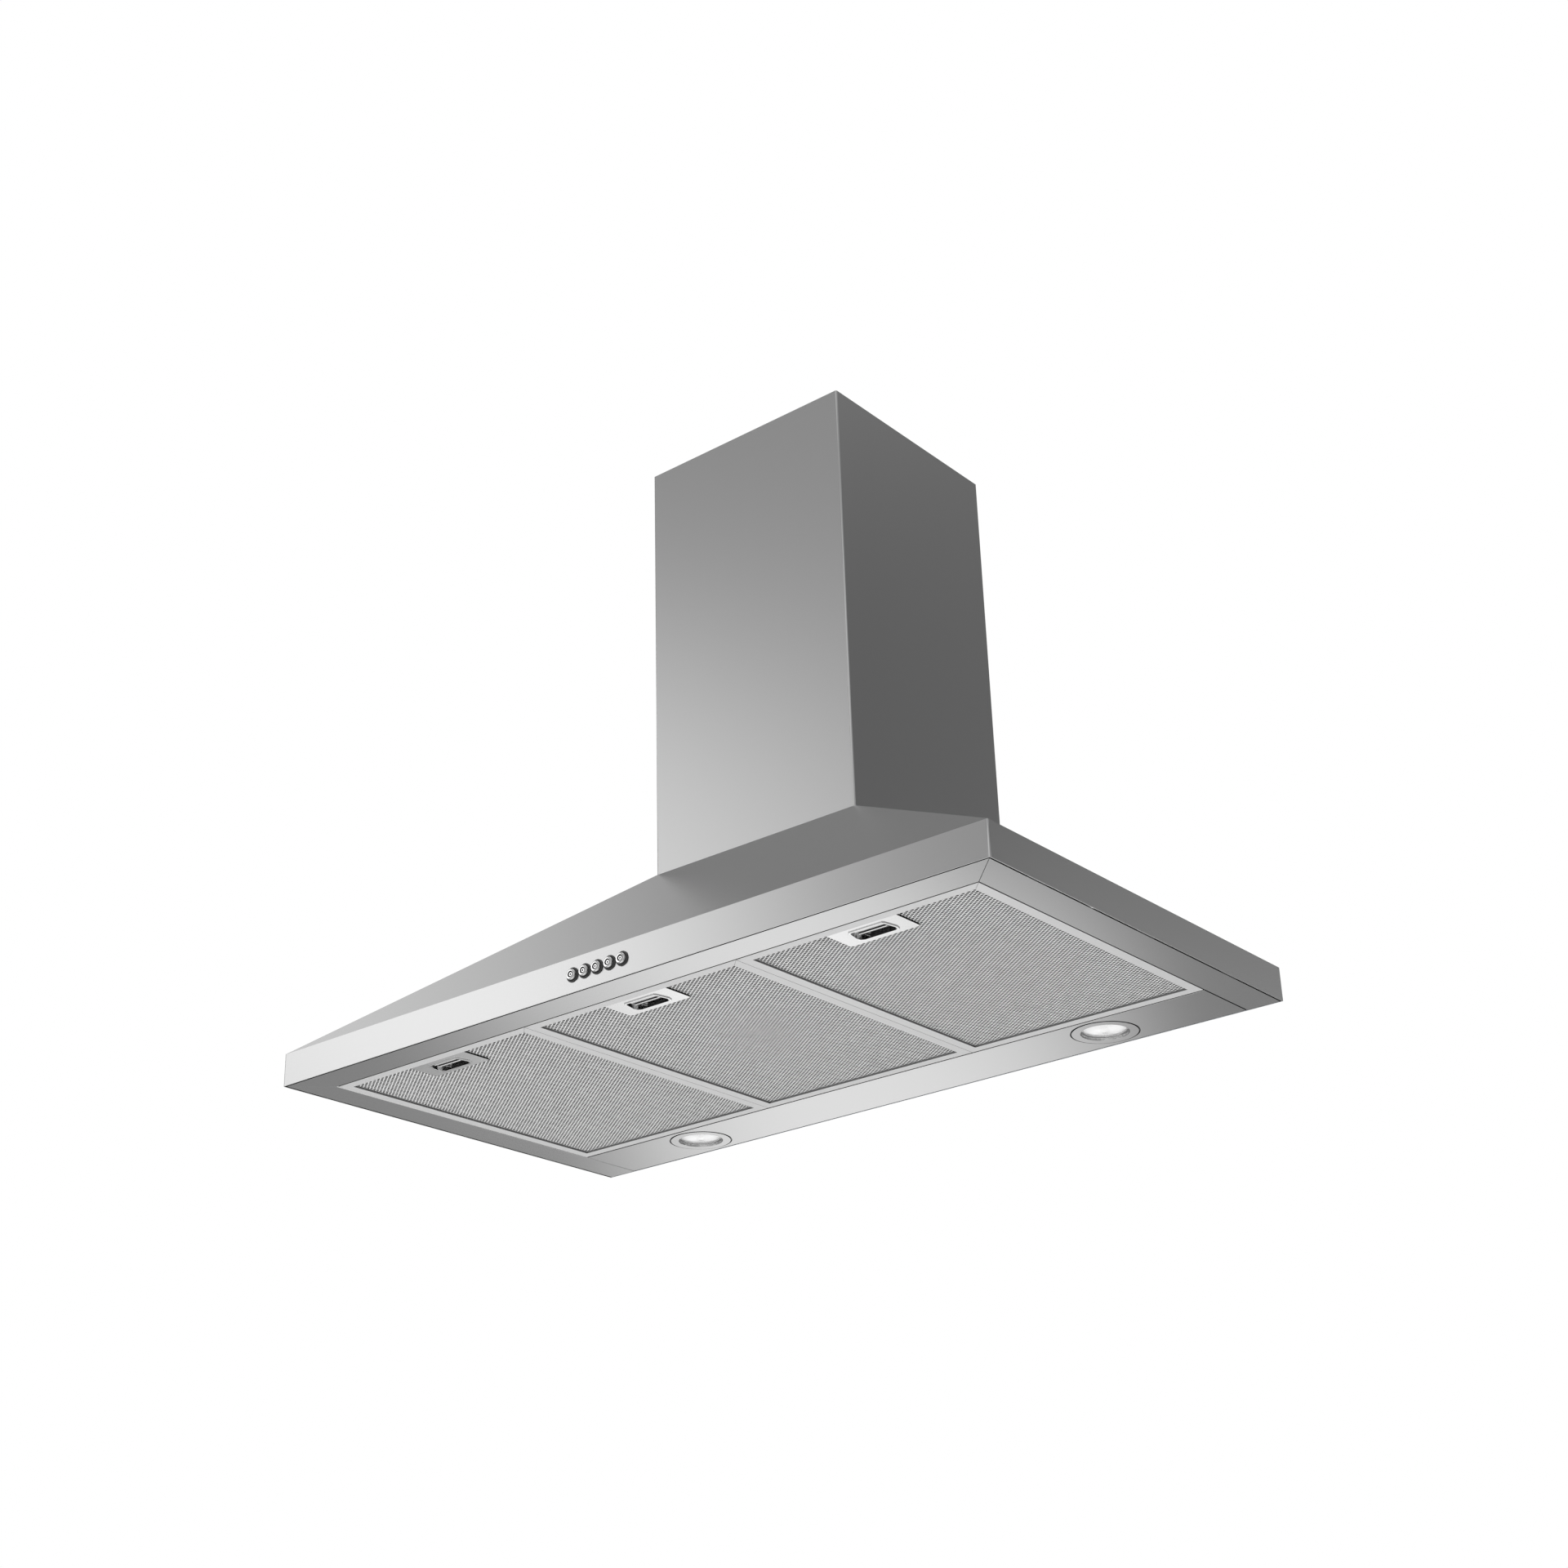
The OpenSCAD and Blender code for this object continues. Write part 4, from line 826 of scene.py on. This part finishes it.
def pressed_glass(side):
    """A lens that bulges down through the ring, with shallow rays pressed into its underside."""
    low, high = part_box("lamp_glass_" + side)
    middle = Vector(((low.x + high.x) / 2, (low.y + high.y) / 2,
                     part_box("lamp_reflector_" + side)[0].z))
    radius = (high.x - low.x) / 2 / MM
    bm = bmesh.new()
    rings = [lens_ring(bm, middle, radius, i / RINGS) for i in range(1, RINGS + 1)]
    for z in (-GLASS_THICK, 0):
        rings.append([bm.verts.new((middle.x + (v.co.x - middle.x) / LENS_SHARE,
                                    middle.y + (v.co.y - middle.y) / LENS_SHARE,
                                    middle.z + z * MM)) for v in rings[RINGS - 1]])
    for a, b in zip(rings, rings[1:]):
        for k in range(len(a)):
            n = (k + 1) % len(a)
            bm.faces.new((a[k], b[k], b[n], a[n]))
    bm.faces.new(rings[0])
    bm.faces.new(rings[-1][::-1])
    bmesh.ops.recalc_face_normals(bm, faces=bm.faces[:])
    piece = new_piece("pressed_glass_" + side, bm, [lamp_glass], True)
    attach(piece, "hood")
    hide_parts("lamp_glass_" + side)


print("a glass has", FLUTES, "rays")

# %% [markdown]
# The reflector is a bowl of many small flat facets. They throw the light in all directions, and
# from outside they break up what they mirror. Facets come for free when a turned outline has
# few steps and isn't smoothed. The lamp holder on top is part of the same outline.

# %% Faceted reflector
FACETS = 36
# In millimetres: the wall, then radius and height up the inside and down the outside
REFLECTOR_WALL = 1
BOWL_INSIDE = (
    (22.6, 4), (21.9, 7), (21.1, 9.5), (20.4, 11.7),
    (18.2, 15), (15.5, 18.2), (12.4, 21.5), (9, 25), (0, 25),
)
HOLDER_OUTSIDE = ((0, 40), (12, 40), (12, 26), (10, 26), (21.5, 11.7))

reflector = glossy("reflector", grey(0.92), 0.1)


def facet_reflector(side):
    """A bowl of flat facets above the glass, with its lamp holder on top."""
    low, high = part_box("lamp_reflector_" + side)
    middle = Vector(((low.x + high.x) / 2, (low.y + high.y) / 2, low.z))
    wide = (high.x - low.x) / 2 / MM
    narrow = wide - REFLECTOR_WALL
    outline = [(narrow, 0), (narrow, 1), *BOWL_INSIDE, *HOLDER_OUTSIDE, (wide, 1), (wide, 0)]
    piece = turned("facets_" + side, outline, middle, Vector((0, 0, 1)), [reflector],
                   steps=FACETS, smooth=False, close=True)
    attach(piece, "hood")
    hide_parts("lamp_reflector_" + side)


for side in ("left", "right"):
    dress("lamp_bezel_" + side, lamp_ring, 0.2 * MM)
    pressed_glass(side)
    facet_reflector(side)
print("made two lamps")

# %% [markdown]
# ## Inside
# The blower, its box and the electric parts only show from above, from behind and when the
# filters hang open, but each has the finish of the real thing. Their solids are detailed enough
# as they are, so one table of finishes does for all of them.

# %% Dress the inner pieces
INNER = {
    "back_panel": zinc, "blower_deck": zinc, "blower_box": zinc, "duct_collar": zinc,
    "chimney_bracket": zinc, "scroll_left": white_plastic, "scroll_right": white_plastic,
    "inlet_ring_left": white_plastic, "inlet_ring_right": white_plastic, "motor": motor_paint,
    "motor_bracket": motor_paint, "motor_shaft": ground_steel, "impeller": grey_plastic,
    "damper_pin": ground_steel, "damper_flap_front": grey_plastic,
    "damper_flap_rear": grey_plastic, "terminal_box": white_plastic,
    "terminal_lid": white_plastic, "cable_gland": black_plastic, "capacitor": white_plastic,
    "switch_body": white_plastic, "deck_screws": screw_zinc, "chimney_screws": screw_zinc,
    "collar_screws": screw_zinc, "lid_screws": screw_zinc,
}
for node, material in INNER.items():
    dress(node, material)
print("dressed", len(INNER), "inner nodes")

# %% [markdown]
# ## Studio
# Brushed steel has hardly a colour of its own: it shows the studio. So the studio is built for
# what each face mirrors. Its walls are a middle grey, and cards of other greys stand in front
# of them, with soft edges that give the steel its slow gradients. They are painted on the world
# by direction, so they stay put when the camera moves. Real softboxes round the hood would do
# the same, but they would be in the way of the other views.

# %% Cards
def direction(azimuth, elevation):
    """Unit vector. Azimuth 0 is the wall side, and 90 is to the right."""
    a, e = math.radians(azimuth), math.radians(elevation)
    return Vector((math.sin(a) * math.cos(e), math.cos(a) * math.cos(e), math.sin(e)))


# Each card: azimuth and elevation of its middle, its full and its faded radius, its level
CARDS = (
    # The front of the skirt
    (-40, 50, 15, 37, 0.25),
    # The right sides of rim and chimney, seen from below
    (25, 28, 6, 16, 0.2),
    (46, 23, 7, 14, 0.09),
    # The same sides, seen from a little above
    (34, -5, 10, 22, 1.15),
    # The left end of the skirt's front
    (-70, 25, 6, 26, 0.87),
    # The front of the rim, and of the chimney low down
    (-132.5, 20, 1, 11.5, 1.85),
    # The trim round the filters: two small glows in a darker field. Unlike the rest, the glows'
    # places, faded radii and levels and the field's level weren't set by hand: a small program
    # searched for them against the photograph's greys, and they are rounded
    (-37, -18, 8, 22, 0.295),
    (-42.4, -24.5, 0, 8, 1.17),
    (-36.3, -16.5, 0, 8, 1.17),
    # The fronts, seen from the right and a little above, and from the left
    (-152, -14, 4, 28, 0.8),
    (150, 8, 6, 45, 0.8),
    # The skirt, seen from in front
    (180, 72, 5, 32, 0.85),
)


def add_card(tree, way, level, azimuth, elevation, full, faded, value):
    """Blends the studio's level to the card's own one near the card's direction."""
    near = add_node(tree, "ShaderNodeVectorMath", {"operation": "DOT_PRODUCT"}, _0=way)
    near.inputs[1].default_value = direction(azimuth, elevation)
    edge = add_node(tree, "ShaderNodeMapRange", {"interpolation_type": "SMOOTHSTEP"},
                    Value=near.outputs["Value"])
    edge.inputs["From Min"].default_value = math.cos(math.radians(faded))
    edge.inputs["From Max"].default_value = math.cos(math.radians(full))
    return add_node(tree, "ShaderNodeMix", {"data_type": "FLOAT"},
                    _0=edge.outputs[0], _2=level, _3=value).outputs[0]


print("planned", len(CARDS), "cards")

# %% [markdown]
# The world can tell rays apart. Rays that bounce off something shiny see the grey studio and
# its cards. Matt surfaces get an even light, or the cards would stain them too. The camera
# sees plain white, and so do rays that pass through glass.

# %% World
STUDIO_LEVEL = 0.38
ROOM_LEVEL = 0.95
WHITE_LEVEL = 1.0


def make_world():
    world = bpy.data.worlds.new("studio")
    bpy.context.scene.world = world
    world.use_nodes = True
    tree = world.node_tree
    tree.nodes.clear()
    way = add_node(tree, "ShaderNodeTexCoord").outputs["Generated"]
    level = STUDIO_LEVEL
    for card in CARDS:
        level = add_card(tree, way, level, *card)
    path = add_node(tree, "ShaderNodeLightPath")
    metal = add_node(tree, "ShaderNodeMix", {"data_type": "FLOAT"},
                     _0=path.outputs["Is Glossy Ray"], _2=ROOM_LEVEL, _3=level)
    clear = add_node(tree, "ShaderNodeMath", {"operation": "MAXIMUM"},
                     _0=path.outputs["Is Camera Ray"], _1=path.outputs["Is Transmission Ray"])
    seen = add_node(tree, "ShaderNodeMix", {"data_type": "FLOAT"},
                    _0=clear.outputs[0], _2=metal.outputs[0], _3=WHITE_LEVEL)
    back = add_node(tree, "ShaderNodeBackground", Strength=seen.outputs[0])
    back.inputs["Color"].default_value = grey(1.0)
    add_node(tree, "ShaderNodeOutputWorld", Surface=back.outputs[0])


make_world()
bpy.context.scene.view_settings.view_transform = "Standard"
print("made the world", bpy.context.scene.world.name)

# %% [markdown]
# ## Floor
# The hood hangs about 1.6 m above a pale floor. A floor with an edge would show as a disc in
# some views, so it fades into the white background, and keeps the hood's soft shadow in the
# middle.

# %% Floor
FLOOR_DROP = 1.6
FLOOR_RADIUS = 2.6
FLOOR_TONE = 0.85
FLOOR_ROUGH = 0.8
FADE_START_SHARE = 0.3
FADE_END_SHARE = 0.95
FLOOR_SEGMENTS = 128


def pale_floor():
    material, tree, shader = start_material("pale floor")
    shader.inputs["Base Color"].default_value = grey(FLOOR_TONE)
    shader.inputs["Roughness"].default_value = FLOOR_ROUGH
    far = add_node(tree, "ShaderNodeVectorMath", {"operation": "LENGTH"}, _0=object_place(tree))
    fade = add_node(tree, "ShaderNodeMapRange", {"interpolation_type": "SMOOTHSTEP"},
                    Value=far.outputs["Value"])
    fade.inputs["From Min"].default_value = FADE_START_SHARE * FLOOR_RADIUS
    fade.inputs["From Max"].default_value = FADE_END_SHARE * FLOOR_RADIUS
    clear = add_node(tree, "ShaderNodeBsdfTransparent")
    mix = add_node(tree, "ShaderNodeMixShader", _0=fade.outputs[0], _1=shader.outputs[0],
                   _2=clear.outputs[0])
    output = next(node for node in tree.nodes if node.type == "OUTPUT_MATERIAL")
    tree.links.new(mix.outputs[0], output.inputs["Surface"])
    return material


def make_floor():
    bm = bmesh.new()
    bmesh.ops.create_circle(bm, cap_ends=True, segments=FLOOR_SEGMENTS, radius=FLOOR_RADIUS)
    floor = new_piece("floor", bm, [pale_floor()])
    floor.location.z = underside_z - FLOOR_DROP
    print("floor at", round(floor.location.z, 3), "m")


make_floor()

# %% [markdown]
# ## Lamps of the studio
# Three large soft lamps add shape to what isn't metal: one high on the left, a weak one from
# the camera's side, and one low in front that reaches into the filters. The steel would mirror
# them as hard discs, so rays that bounce off something shiny don't see them.

# %% Studio lamps
def soft_lamp(name, place, aim, size, power):
    data = bpy.data.lights.new(name, "AREA")
    data.shape = "DISK"
    data.size = size
    data.energy = power
    lamp = bpy.data.objects.new(name, data)
    lamp.location = place
    lamp.rotation_euler = (Vector(aim) - Vector(place)).to_track_quat("-Z", "Y").to_euler()
    lamp.visible_glossy = False
    bpy.context.scene.collection.objects.link(lamp)
    print(name, power, "W")


soft_lamp("key lamp", (-2.2, -2.6, 1.6), (0, -0.3, 0.1), size=1.6, power=30)
soft_lamp("fill lamp", (1.5, -2.0, -1.4), (0, -0.3, 0.0), size=1.4, power=8)
soft_lamp("front lamp", (-0.6, -3.6, -0.8), (0, -0.3, 0.0), size=1.0, power=45)
